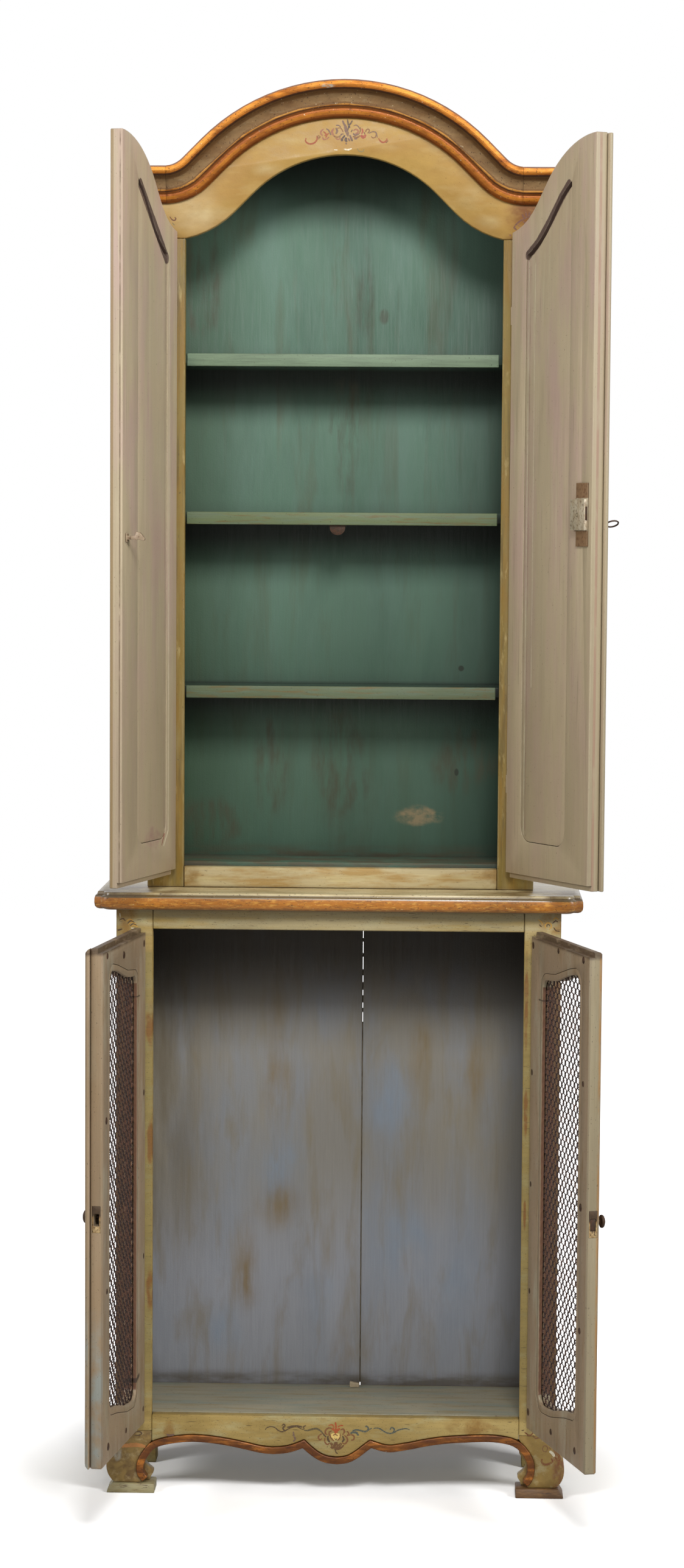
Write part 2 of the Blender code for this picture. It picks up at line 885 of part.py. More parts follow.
def build_hinges(name, stile, frame, root, door, side, heights, pin, paints):
    """Joins the hinges' leaves to the stile and to the door's frame."""
    knuckles = bmesh.new()
    leaves = bmesh.new()
    rolls = bmesh.new()
    split = knuckle_length + fit_gap
    top = split + knuckle_length
    for height in heights:
        place = [(pin[0] - side * x, pin[1] + y) for x, y in frame_leaf_plan()]
        plan_mesh(place, height + leaf_thickness, height + knuckle_length - leaf_thickness, leaves)
        place = [(pin[0] - side * x, pin[1] + y) for x, y in door_leaf_plan()]
        plan_mesh(place, height + split, height + top, rolls)
        profile = [
            (pin_head_radius, -pin_head_height),
            (knuckle_radius, 0.0),
            (knuckle_radius, knuckle_length),
            (pin_radius, knuckle_length),
            (pin_radius, top + fit_gap),
            (pin_head_radius, top + fit_gap),
            (pin_head_radius, top + fit_gap + pin_head_height),
        ]
        turned_mesh(profile, (pin[0], pin[1], height), (0.0, 0.0, 1.0), small_segments, knuckles)
    cut(stile, make_object(f"{name}_hinge_plates", leaves, paints["iron"], root, cutter=True), "UNION")
    cut(stile, make_object(f"{name}_hinge_knuckles", knuckles, paints["iron"], root, cutter=True), "UNION")
    cut(frame, make_object(f"{name}_hinge_rolls", rolls, paints["iron"], door, cutter=True), "UNION")


def door_depths(front_y):
    """Depth in Y of a shut door's outer and inner faces."""
    inner = front_y - door_clearance
    return inner - door_thickness, inner


def upper_door_outline(hinge_x):
    top = bonnet_points(upper_overlay - frieze_width, hinge_x)
    first = door_meeting_gap
    top = [(first, top[0][1]), *[point for point in top if point[0] > first + fit_gap]]
    low = upper_opening_bottom - upper_overlay
    return [(first, low), *top, (hinge_x, low)]


def upper_panel_outline(hinge_x, inset, top_inset):
    """The panel's outline: a sloping top that follows the bonnet, and rounded lower corners."""
    left = door_meeting_gap + upper_meeting_stile + inset
    right = hinge_x - upper_hinge_stile - inset
    low = upper_opening_bottom - upper_overlay + upper_bottom_rail + inset
    curve = bonnet_points(upper_overlay - frieze_width - upper_top_rail - top_inset, right)
    top = [point for point in curve if point[0] > left + fit_gap]
    first = curve[len(curve) - len(top) - 1]
    share = (left - first[0]) / (top[0][0] - first[0])
    top.insert(0, (left, first[1] + (top[0][1] - first[1]) * share))
    radius = panel_corner_radius - inset
    corner = rounded_corner((right - radius, low + radius), radius, 0.0, -math.pi / 2)
    other = rounded_corner((left + radius, low + radius), radius, -math.pi / 2, -math.pi)
    return top + corner + other


def build_upper_door(word, side, angle, root, stile, paints):
    hinge_x = upper_opening_half + upper_overlay
    pin = (side * (hinge_x + pin_offset), upper_front_y - pin_forward)
    door = make_empty(f"upper_{word}_door_axis", (pin[0], pin[1], 0.0), side * angle, root)
    outer_y, inner_y = door_depths(upper_front_y)
    name = f"upper_{word}_door"

    slab = outline_mesh(mirrored(upper_door_outline(hinge_x), side), outer_y, inner_y)
    frame = make_object(f"{name}_frame", slab, paints["upper door"], door)
    ease_edges(frame, edge_ease)
    outline = upper_panel_outline(hinge_x, 0.0, 0.0)
    hole = outline_mesh(mirrored(outline, side), outer_y - overrun, inner_y + overrun)
    cut(frame, make_object(f"{name}_panel_hole", hole, paints["upper door"], door, cutter=True))
    low = upper_opening_bottom - upper_overlay
    near, far = sorted((side * -overrun, side * (hinge_x + overrun)))
    rebate = box_mesh(
        (near, inner_y - door_rebate_depth, low - overrun),
        (far, inner_y + overrun, low + upper_rebate_height),
    )
    cut(frame, make_object(f"{name}_foot_rebate", rebate, paints["upper door"], door, cutter=True))

    plate = upper_panel_outline(hinge_x, fit_gap, fit_gap)
    field = upper_panel_outline(hinge_x, panel_groove, panel_slot)
    step_y = outer_y + panel_outer_set + panel_tongue
    panel = make_object(
        f"{name}_panel",
        outline_mesh(mirrored(plate, side), outer_y + panel_outer_set, step_y),
        paints["upper door"],
        door,
    )
    raised = make_object(
        f"{name}_panel_field",
        outline_mesh(mirrored(field, side), step_y - overrun / 2, inner_y - panel_inner_set),
        paints["upper door"],
        door,
        cutter=True,
    )
    cut(panel, raised, "UNION")
    build_hinges(f"upper_{word}", stile, frame, root, door, side, upper_hinge_heights, pin, paints)
    return door, frame


def build_astragal(name, door, side, front_y, span, end_slope, material):
    """A rounded strip on the outer face that laps over the other door."""
    outer_y = door_depths(front_y)[0] - fit_gap
    half = astragal_width / 2
    middle = half - astragal_lap
    shoulder = astragal_thickness * 0.4
    plan = [(middle - half, outer_y)]
    for step in range(corner_steps + 1):
        angle = math.pi - math.pi * step / corner_steps
        rise = shoulder + (astragal_thickness - shoulder) * math.sin(angle)
        plan.append((middle + half * math.cos(angle), outer_y - rise))
    plan.append((middle + half, outer_y))
    plan = mirrored(plan, side)
    slopes = [end_slope * (outer_y - y) for _, y in plan]
    rings = [
        [(x, y, span[0] + slope) for (x, y), slope in zip(plan, slopes)],
        [(x, y, span[1] - slope) for (x, y), slope in zip(plan, slopes)],
    ]
    make_object(name, loft_mesh(rings), material, door)


def build_lock(door, frame, side, paints):
    outer_y, inner_y = door_depths(upper_front_y)
    lock_x = door_meeting_gap + lock_edge_set
    plate_x = door_meeting_gap + lock_plate_set
    face_y = inner_y + fit_gap

    low_x, high_x = sorted((side * plate_x, side * (plate_x + lock_plate_width)))
    plate_top = lock_plate_bottom + lock_plate_height
    plate = box_mesh(
        (low_x, face_y, lock_plate_bottom), (high_x, face_y + lock_plate_thickness, plate_top)
    )
    case = make_object("upper_lock_case", plate, paints["lock"], door)
    low_x, high_x = sorted((side * lock_x, side * (lock_x + lock_width)))
    shell = box_mesh(
        (low_x, face_y, lock_bottom), (high_x, face_y + lock_thickness, lock_bottom + lock_height)
    )
    cut(case, make_object("lock_shell", shell, paints["lock"], door, cutter=True), "UNION")

    bolt_y = face_y + (lock_thickness - bolt_thickness) / 2
    far_x = lock_x + bolt_length
    low_x, high_x = sorted((side * lock_x, side * far_x))
    bolt_top = bolt_bottom + bolt_height
    bolt = box_mesh((low_x, bolt_y, bolt_bottom), (high_x, bolt_y + bolt_thickness, bolt_top))
    make_object("upper_lock_bolt", bolt, paints["iron"], door)
    low_x, high_x = sorted((side * (lock_x - overrun), side * (far_x + bolt_slack)))
    channel = box_mesh(
        (low_x, bolt_y - bolt_slack, bolt_bottom - bolt_slack),
        (high_x, bolt_y + bolt_thickness + bolt_slack, bolt_top + bolt_slack),
    )
    cut(case, make_object("bolt_channel", channel, paints["lock"], door, cutter=True))

    key_x = side * (door_meeting_gap + key_set)
    hole = turned_mesh(
        [(key_hole_radius, 0.0), (key_hole_radius, door_thickness + lock_thickness * 0.5)],
        (key_x, outer_y - overrun / 2, key_height),
        (0.0, 1.0, 0.0),
        small_segments,
    )
    hole = make_object("key_hole", hole, paints["lock"], door, cutter=True)
    cut(frame, hole)
    cut(case, hole)
    build_key(door, key_x, outer_y, inner_y, paints)


def build_key(door, key_x, outer_y, inner_y, paints):
    """The key, with its own empty on its stem's axis."""
    axis = make_empty("key_axis", (key_x, outer_y, key_height), 0.0, door)
    bow_y = outer_y - key_stand - key_bow_length / 2
    stem_start = -key_stand - key_wire_radius
    stem_end = inner_y - outer_y - overrun / 4
    stem = turned_mesh(
        [(key_stem_radius, stem_start), (key_stem_radius, stem_end)],
        (key_x, outer_y, key_height),
        (0.0, 1.0, 0.0),
        small_segments,
    )
    key = make_object("upper_key", stem, paints["iron"], axis)
    bow = bmesh.new()
    rings = []
    for step in range(round_segments):
        around = math.tau * step / round_segments
        ring = []
        for turn in range(wire_segments):
            angle = math.tau * turn / wire_segments
            reach = key_wire_radius * math.cos(angle) - key_wire_radius
            out = (key_bow_height / 2 + reach) * math.cos(around)
            along = (key_bow_length / 2 + reach) * math.sin(around)
            across = key_wire_radius * math.sin(angle)
            x = key_x + out * math.sin(key_turn) + across * math.cos(key_turn)
            z = key_height + out * math.cos(key_turn) - across * math.sin(key_turn)
            ring.append(bow.verts.new((x, bow_y + along, z)))
        rings.append(ring)
    for ring, after in zip(rings, rings[1:] + rings[:1]):
        for index, vertex in enumerate(ring):
            following = (index + 1) % len(ring)
            bow.faces.new((vertex, ring[following], after[following], after[index]))
    cut(key, make_object("key_bow", bow, paints["iron"], axis, cutter=True), "UNION")


def build_catch(door, paints):
    """The elbow catch on the left door: a plate with two ears, and a lever on a cross pin."""
    inner_y = door_depths(upper_front_y)[1] + fit_gap
    middle = -(door_meeting_gap + catch_inset)
    half = catch_plate_width / 2
    plate = box_mesh(
        (middle - half, inner_y, catch_height - catch_plate_height / 2),
        (middle + half, inner_y + catch_plate_thickness, catch_height + catch_plate_height / 2),
    )
    bracket = make_object("elbow_catch_plate", plate, paints["lock"], door)
    pivot_y = inner_y + catch_plate_thickness + catch_ear
    ear_low = catch_lever_width / 2 + catch_ear_gap
    ears = bmesh.new()
    for side in (-1, 1):
        low_x, high_x = sorted((middle + side * ear_low, middle + side * (ear_low + leaf_thickness)))
        box_mesh(
            (low_x, inner_y + catch_plate_thickness / 2, catch_height - catch_ear),
            (high_x, pivot_y + catch_ear / 2, catch_height + catch_ear),
            ears,
        )
    cut(bracket, make_object("catch_ears", ears, paints["lock"], door, cutter=True), "UNION")
    axis = make_empty("catch_axis", (middle, pivot_y, catch_height), 0.0, door)
    half_lever = catch_lever_width / 2
    tail_y = pivot_y - catch_tail
    length = inner_y + catch_reach - tail_y
    side_view = []
    for along, up in catch_lever_shares:
        side_view.append((tail_y + along * length, catch_height + up * catch_hook_rise))
    rings = [[(x, y, z) for y, z in side_view] for x in (middle - half_lever, middle + half_lever)]
    make_object("elbow_catch_lever", loft_mesh(rings), paints["lock"], axis)


def build_strike(root, paints):
    """The tab under the second shelf, rounded at its lower end, that the catch's lever hooks."""
    top = shelf_fronts[1] - shelf_thickness - fit_gap
    front = shelf_front_y + strike_set
    half = strike_width / 2
    straight = strike_drop * 0.4
    outline = [(strike_x - half, top), (strike_x + half, top)]
    for step in range(corner_steps * 2 + 1):
        angle = math.pi * step / (corner_steps * 2)
        drop = straight + (strike_drop - straight) * math.sin(angle)
        outline.append((strike_x + half * math.cos(angle), top - drop))
    tab = outline_mesh(outline, front, front + strike_thickness)
    strike = make_object("catch_strike", tab, paints["iron"], root)
    foot = box_mesh(
        (strike_x - half, front, top - strike_thickness), (strike_x + half, front + strike_depth, top)
    )
    cut(strike, make_object("strike_foot", foot, paints["iron"], root, cutter=True), "UNION")


def net_outline(hinge_x, grow):
    """A lower door's opening, grown outwards by an amount. Both its ends rise to the free edge."""
    left = door_meeting_gap + lower_meeting_stile - grow
    right = hinge_x - lower_hinge_stile + grow
    low = net_opening_bottom - grow
    high = net_opening_top + grow
    width = right - left
    radius = net_corner_radius + grow
    lower = [(right - share * width, low + rise * net_opening_lift) for share, rise in net_edge_shares]
    upper = [(right - share * width, high + rise * net_opening_rise) for share, rise in net_edge_shares]
    lower = [point for point in lower if left + radius < point[0] < right - radius]
    upper = [point for point in upper if left + radius < point[0] < right - radius]
    return [
        *rounded_corner((left + radius, low + net_opening_lift + radius), radius, -math.pi, -math.pi / 2),
        *lower[::-1],
        *rounded_corner((right - radius, low + radius), radius, -math.pi / 2, 0.0),
        *rounded_corner((right - radius, high - radius), radius, 0.0, math.pi / 2),
        *upper,
        *rounded_corner((left + radius, high + net_opening_rise - radius), radius, math.pi / 2, math.pi),
    ]


def net_mesh(side, hinge_x, middle_y):
    """A flat sheet of six-sided cells, larger than the opening that it's cut to."""
    bm = bmesh.new()
    row_pitch = net_cell_height * 0.75
    columns = math.ceil(hinge_x / net_cell_width) + 1
    rows = math.ceil((net_opening_top + net_opening_rise - net_opening_bottom) / row_pitch) + 2
    cells = []
    for row in range(rows):
        for column in range(columns):
            centre_x = (column + 0.5 * (row % 2)) * net_cell_width
            centre_z = net_opening_bottom + row * row_pitch
            corners = []
            for step in range(6):
                angle = math.pi / 2 + step * math.pi / 3
                x = centre_x + net_cell_width / math.sqrt(3) * math.cos(angle)
                z = centre_z + net_cell_height / 2 * math.sin(angle)
                corners.append(bm.verts.new((side * x, middle_y, z)))
            cells.append(bm.faces.new(corners))
    bmesh.ops.remove_doubles(bm, verts=bm.verts, dist=fit_gap)
    bmesh.ops.inset_individual(bm, faces=cells, thickness=net_wire / 2, use_even_offset=True)
    bmesh.ops.delete(bm, geom=cells, context="FACES")
    return bm


def build_net_rim(name, side, hinge_x, rim_edge, net_y, door, paints):
    """The folded edge of the net, which the bead holds in its rebate."""
    low = net_y - fit_gap / 3
    high = net_y + net_thickness + fit_gap / 3
    outer = outline_mesh(mirrored(net_outline(hinge_x, rim_edge), side), low, high)
    rim = make_object(f"{name}_net_rim", outer, paints["wire"], door, cutter=True)
    inside = mirrored(net_outline(hinge_x, rim_edge - net_wire * 1.5), side)
    window = outline_mesh(inside, low - overrun, high + overrun)
    cut(rim, make_object(f"{name}_rim_window", window, paints["wire"], door, cutter=True))
    return rim


def build_lower_door(word, side, angle, root, stile, paints):
    hinge_x = base_opening_half + lower_overlay
    pin = (side * (hinge_x + pin_offset), -pin_forward)
    door = make_empty(f"lower_{word}_door_axis", (pin[0], pin[1], 0.0), side * angle, root)
    outer_y, inner_y = door_depths(0.0)
    name = f"lower_{word}_door"
    near, far = sorted((side * door_meeting_gap, side * hinge_x))
    slab = box_mesh((near, outer_y, lower_door_bottom), (far, inner_y, lower_door_top))
    frame = make_object(f"{name}_frame", slab, paints["lower door"], door)
    ease_edges(frame, edge_ease * 2)
    opening = outline_mesh(mirrored(net_outline(hinge_x, 0.0), side), outer_y - overrun, inner_y + overrun)
    cut(frame, make_object(f"{name}_opening", opening, paints["lower door"], door, cutter=True))
    rebate = outline_mesh(
        mirrored(net_outline(hinge_x, rebate_width), side), inner_y - rebate_depth, inner_y + overrun
    )
    cut(frame, make_object(f"{name}_net_rebate", rebate, paints["lower door"], door, cutter=True))
    step = box_mesh(
        (near - overrun, inner_y - door_rebate_depth, lower_door_top - lower_rebate_height),
        (far + overrun, inner_y + overrun, lower_door_top + overrun),
    )
    cut(frame, make_object(f"{name}_head_rebate", step, paints["lower door"], door, cutter=True))

    net_y = inner_y - rebate_depth + fit_gap
    sheet_bm = net_mesh(side, hinge_x, net_y + net_thickness / 2)
    sheet = make_object(f"{name}_net", sheet_bm, paints["wire"], door)
    wire = sheet.modifiers.new("wire thickness", "SOLIDIFY")
    wire.thickness = net_thickness
    wire.offset = 0.0
    rim_edge = rebate_width - fit_gap
    sheet_edge = mirrored(net_outline(hinge_x, rim_edge - net_wire / 2), side)
    trim = outline_mesh(sheet_edge, net_y - overrun, net_y + overrun)
    cut(sheet, make_object(f"{name}_net_trim", trim, paints["wire"], door, cutter=True), "INTERSECT")
    cut(sheet, build_net_rim(name, side, hinge_x, rim_edge, net_y, door, paints), "UNION")

    bead_y = net_y + net_thickness + fit_gap
    bead_edge = mirrored(net_outline(hinge_x, rebate_width - bead_slack), side)
    bead = outline_mesh(bead_edge, bead_y, inner_y - fit_gap)
    ring = make_object(f"{name}_retaining_bead", bead, paints["lower door"], door)
    window = outline_mesh(mirrored(net_outline(hinge_x, 0.0), side), bead_y - overrun, inner_y + overrun)
    cut(ring, make_object(f"{name}_bead_window", window, paints["lower door"], door, cutter=True))
    build_hinges(f"lower_{word}", stile, frame, root, door, side, lower_hinge_heights, pin, paints)
    build_knob_and_latch(word, side, door, frame, outer_y, inner_y, paints)
    return door


def build_knob_and_latch(word, side, door, frame, outer_y, inner_y, paints):
    knob_x = side * (door_meeting_gap + knob_inset)
    profile = [(r * knob_radius, stand * knob_projection) for r, stand in knob_profile_shares]
    axis = make_empty(f"lower_{word}_knob_axis", (knob_x, outer_y, knob_height), 0.0, door)
    stem_end = -(inner_y - outer_y) / 2
    profile = [(r, fit_gap + stand) for r, stand in profile]
    profile = [(knob_stem_radius, stem_end), (knob_stem_radius, fit_gap), *profile]
    bm = turned_mesh(profile, (knob_x, outer_y, knob_height), (0.0, -1.0, 0.0), round_segments)
    make_object(f"lower_{word}_knob", bm, paints["iron"], axis, smooth=True)
    hole = turned_mesh(
        [(knob_hole_radius, -overrun), (knob_hole_radius, -stem_end + fit_gap)],
        (knob_x, outer_y, knob_height),
        (0.0, 1.0, 0.0),
        small_segments,
    )
    cut(frame, make_object(f"lower_{word}_knob_hole", hole, paints["iron"], door, cutter=True))

    edge_x = door_meeting_gap
    middle_y = (outer_y + inner_y) / 2
    half = latch_plate_width / 2
    top = knob_height + latch_plate_height / 2
    low = knob_height - latch_plate_height / 2
    near, far = sorted((side * edge_x, side * (edge_x + latch_plate_thickness)))
    plate = make_object(
        f"lower_{word}_latch_plate",
        box_mesh((near, middle_y - half, low), (far, middle_y + half, top)),
        paints["iron"],
        door,
    )
    near, far = sorted((side * (edge_x - overrun), side * (edge_x + latch_plate_thickness + fit_gap)))
    seat = box_mesh(
        (near, middle_y - half - fit_gap, low - fit_gap), (far, middle_y + half + fit_gap, top + fit_gap)
    )
    cut(frame, make_object(f"lower_{word}_plate_seat", seat, paints["iron"], door, cutter=True))
    hole_half = latch_hole_width / 2
    hole_low = low + latch_hole_rise
    hole_top = hole_low + latch_hole_height
    near, far = sorted((side * (edge_x - overrun), side * (edge_x + latch_depth)))
    pocket = box_mesh((near, middle_y - hole_half, hole_low), (far, middle_y + hole_half, hole_top))
    pocket = make_object(f"lower_{word}_latch_pocket", pocket, paints["iron"], door, cutter=True)
    cut(plate, pocket)
    cut(frame, pocket)
    if side > 0:
        slack = latch_bolt_slack
        near, far = sorted((side * (edge_x + latch_bolt_set), side * (edge_x + knob_inset - knob_radius)))
        bolt = box_mesh(
            (near, middle_y - hole_half + slack, hole_low + slack),
            (far, middle_y + hole_half - slack, hole_top - slack),
        )
        make_object("lower_latch_bolt", bolt, paints["iron"], door)


def centre_on_floor(root):
    """Moves the whole cupboard so that its bounds stand centred on the origin."""
    bpy.context.view_layer.update()
    graph = bpy.context.evaluated_depsgraph_get()
    corners = []
    for item in bpy.context.scene.objects:
        if item.type == "MESH" and not item.hide_render:
            shape = item.evaluated_get(graph)
            corners += [shape.matrix_world @ vertex.co for vertex in shape.data.vertices]
    lows = [min(corner[axis] for corner in corners) for axis in range(3)]
    highs = [max(corner[axis] for corner in corners) for axis in range(3)]
    root.location = (-(lows[0] + highs[0]) / 2, -(lows[1] + highs[1]) / 2, -lows[2])


def main():
    clear_scene()
    paints = {
        "base": make_material("aged cream paint", (0.44, 0.36, 0.18), 0.55),
        "base top": make_material("glazed cream top", (0.40, 0.33, 0.17), 0.25),
        "base interior": make_material("blue grey paint", (0.21, 0.24, 0.28), 0.65),
        "floor": make_material("grey green floor paint", (0.23, 0.24, 0.20), 0.6),
        "upper": make_material("yellow cream paint", (0.55, 0.45, 0.25), 0.5),
        "interior": make_material("teal paint", (0.09, 0.21, 0.17), 0.6),
        "facing": make_material("grey green paint", (0.22, 0.29, 0.19), 0.55),
        "gilt": make_material("worn gilding", (0.45, 0.17, 0.03), 0.35, 0.6),
        "upper door": make_material("taupe door paint", (0.33, 0.28, 0.22), 0.55),
        "lower door": make_material("grey taupe paint", (0.27, 0.24, 0.18), 0.55),
        "wire": make_material("rusty wire", (0.05, 0.025, 0.018), 0.7, 0.4),
        "iron": make_material("dark iron", (0.04, 0.03, 0.03), 0.5, 0.8),
        "lock": make_material("painted lock", (0.30, 0.25, 0.18), 0.5, 0.2),
    }
    root = make_empty("cupboard_origin", (0.0, 0.0, 0.0))
    base_stiles = build_base(root, paints)
    build_base_top(root, paints)
    build_apron_and_feet(root, paints)
    upper_stiles = build_upper_case(root, paints)
    build_cornice(root, paints)
    build_strike(root, paints)

    upper_low = upper_opening_bottom - upper_overlay
    left_door, _ = build_upper_door("left", -1, upper_left_open, root, upper_stiles[-1], paints)
    build_catch(left_door, paints)
    right_door, right_frame = build_upper_door("right", 1, upper_right_open, root, upper_stiles[1], paints)
    build_lock(right_door, right_frame, 1, paints)
    upper_high = bonnet_points(upper_overlay - frieze_width, upper_opening_half)[0][1]
    upper_span = (upper_low, upper_high - edge_ease)
    upper_paint = paints["upper door"]
    build_astragal("upper_door_astragal", right_door, 1, upper_front_y, upper_span, 0.0, upper_paint)
    left_door = build_lower_door("left", -1, lower_left_open, root, base_stiles[-1], paints)
    build_lower_door("right", 1, lower_right_open, root, base_stiles[1], paints)
    lower_span = (lower_door_bottom, lower_door_top)
    build_astragal("lower_door_astragal", left_door, -1, 0.0, lower_span, 1.0, paints["lower door"])
    centre_on_floor(root)


main()
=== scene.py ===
import json
import math

import bmesh
import bpy
from mathutils import Matrix, Vector
from mathutils.bvhtree import BVHTree

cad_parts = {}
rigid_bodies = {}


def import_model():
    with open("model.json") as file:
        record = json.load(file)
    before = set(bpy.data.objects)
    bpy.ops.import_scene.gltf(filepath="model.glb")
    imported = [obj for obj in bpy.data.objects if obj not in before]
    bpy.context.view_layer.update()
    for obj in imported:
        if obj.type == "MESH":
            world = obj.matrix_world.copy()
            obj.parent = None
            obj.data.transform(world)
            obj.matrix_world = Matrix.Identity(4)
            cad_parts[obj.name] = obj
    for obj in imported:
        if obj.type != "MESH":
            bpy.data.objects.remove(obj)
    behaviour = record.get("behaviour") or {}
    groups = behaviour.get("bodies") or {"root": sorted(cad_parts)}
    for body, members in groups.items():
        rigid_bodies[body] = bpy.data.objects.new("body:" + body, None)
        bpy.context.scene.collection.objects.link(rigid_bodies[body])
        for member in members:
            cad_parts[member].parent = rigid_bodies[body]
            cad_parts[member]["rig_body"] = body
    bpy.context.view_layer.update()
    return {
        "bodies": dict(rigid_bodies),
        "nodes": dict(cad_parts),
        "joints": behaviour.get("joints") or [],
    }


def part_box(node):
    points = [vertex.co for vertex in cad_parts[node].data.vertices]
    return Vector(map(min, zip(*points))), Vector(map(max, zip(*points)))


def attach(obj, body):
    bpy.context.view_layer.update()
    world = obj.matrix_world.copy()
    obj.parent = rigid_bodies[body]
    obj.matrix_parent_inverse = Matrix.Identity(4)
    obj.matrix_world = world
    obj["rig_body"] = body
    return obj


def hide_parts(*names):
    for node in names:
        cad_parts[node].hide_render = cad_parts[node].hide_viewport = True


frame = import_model()
scene = bpy.context.scene

# Closed-case coordinates: x from the middle, y from the lower case's front, z from the floor, doors shut.
topLow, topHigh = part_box("base_top")
caseShift = Vector(((topLow.x + topHigh.x) / 2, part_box("base_top_rail")[0].y, 0))
caseToWorld = {body: Matrix.Translation(caseShift) for body in frame["bodies"]}
doorSpin = {}
for joint in frame["joints"]:
    if joint["name"].endswith("door_hinge"):
        angle = math.radians(-max(joint["range_deg"], key=abs))
        pin = Vector(joint["pos_m"])
        doorSpin[joint["child"]] = (pin, angle)
        caseToWorld[joint["child"]] = (
            Matrix.Translation(pin) @ Matrix.Rotation(angle, 4, "Z") @ Matrix.Translation(caseShift - pin))
for joint in frame["joints"]:
    if joint["parent"] in doorSpin:
        doorSpin[joint["child"]] = doorSpin[joint["parent"]]
        caseToWorld[joint["child"]] = caseToWorld[joint["parent"]]
print("frame loaded,", len(frame["nodes"]), "nodes")


# Nodes and colours

gamma = {"straightUpTo": 0.04045, "slope": 12.92, "offset": 0.055, "power": 2.4}  # sRGB


def toLinear(hexColour):
    parts = [int(hexColour[start:start + 2], 16) / 255 for start in (1, 3, 5)]
    return (*[part / gamma["slope"] if part <= gamma["straightUpTo"]
              else ((part + gamma["offset"]) / (1 + gamma["offset"])) ** gamma["power"] for part in parts], 1)


def addNode(tree, kind, inputs=(), **settings):
    # a node given as an input stands for its first output
    node = tree.nodes.new(kind)
    for name, value in settings.items():
        setattr(node, name, value)
    for key, value in dict(inputs).items():
        if isinstance(value, bpy.types.Node):
            value = value.outputs[0]
        if isinstance(value, bpy.types.NodeSocket):
            tree.links.new(value, node.inputs[key])
        else:
            node.inputs[key].default_value = value
    return node


def emptyTree(owner):
    owner.use_nodes = True
    owner.node_tree.nodes.clear()
    return owner.node_tree


def patternPlace(tree, body):
    # object coordinates carried into the shut case, so that a pattern is written where the piece hangs when shut
    place = addNode(tree, "ShaderNodeTexCoord").outputs["Object"]
    if body in doorSpin:
        pin, angle = doorSpin[body]
        turned = addNode(tree, "ShaderNodeMapping", {
            "Vector": place, "Location": pin, "Rotation": (0, 0, angle)}, vector_type="TEXTURE")
        return addNode(tree, "ShaderNodeVectorMath", {0: turned, 1: pin - caseShift})
    return addNode(tree, "ShaderNodeVectorMath", {0: place, 1: -caseShift})


def boardNormal(tree, body):
    # which way the surface faces on the shut case
    plain = addNode(tree, "ShaderNodeNewGeometry").outputs["True Normal"]
    local = addNode(tree, "ShaderNodeVectorTransform", {0: plain}, vector_type="NORMAL",
                    convert_from="WORLD", convert_to="OBJECT")
    angle = doorSpin[body][1] if body in doorSpin else 0
    return addNode(tree, "ShaderNodeVectorRotate", {"Vector": local, "Angle": -angle}, rotation_type="Z_AXIS")


def anyOf(tree, masks):
    whole = masks[0]
    for mask in masks[1:]:
        whole = addNode(tree, "ShaderNodeMath", {0: whole, 1: mask}, operation="MAXIMUM")
    return whole


# How a layer's limits soften and fray: pairs run from nothing to full, and lengths are in millimetres
limits = {"shift": (3.7, 5.3, 2.9), "detail": 5, "grit": 0.6, "spotReach": 100, "spotEnd": 1.6, "spotCore": 1.1,
          "ragged": 30, "raggedDetail": 4, "tear": 1.2, "slashScale": 160, "slashDetail": 3, "waver": 0.9,
          "slashSoft": 0.5, "samples": 4, "edge": (0.985, 0.86), "corner": (0.75, 0.25), "facing": (0.6, 0.75),
          "acrossSoft": 0.02}


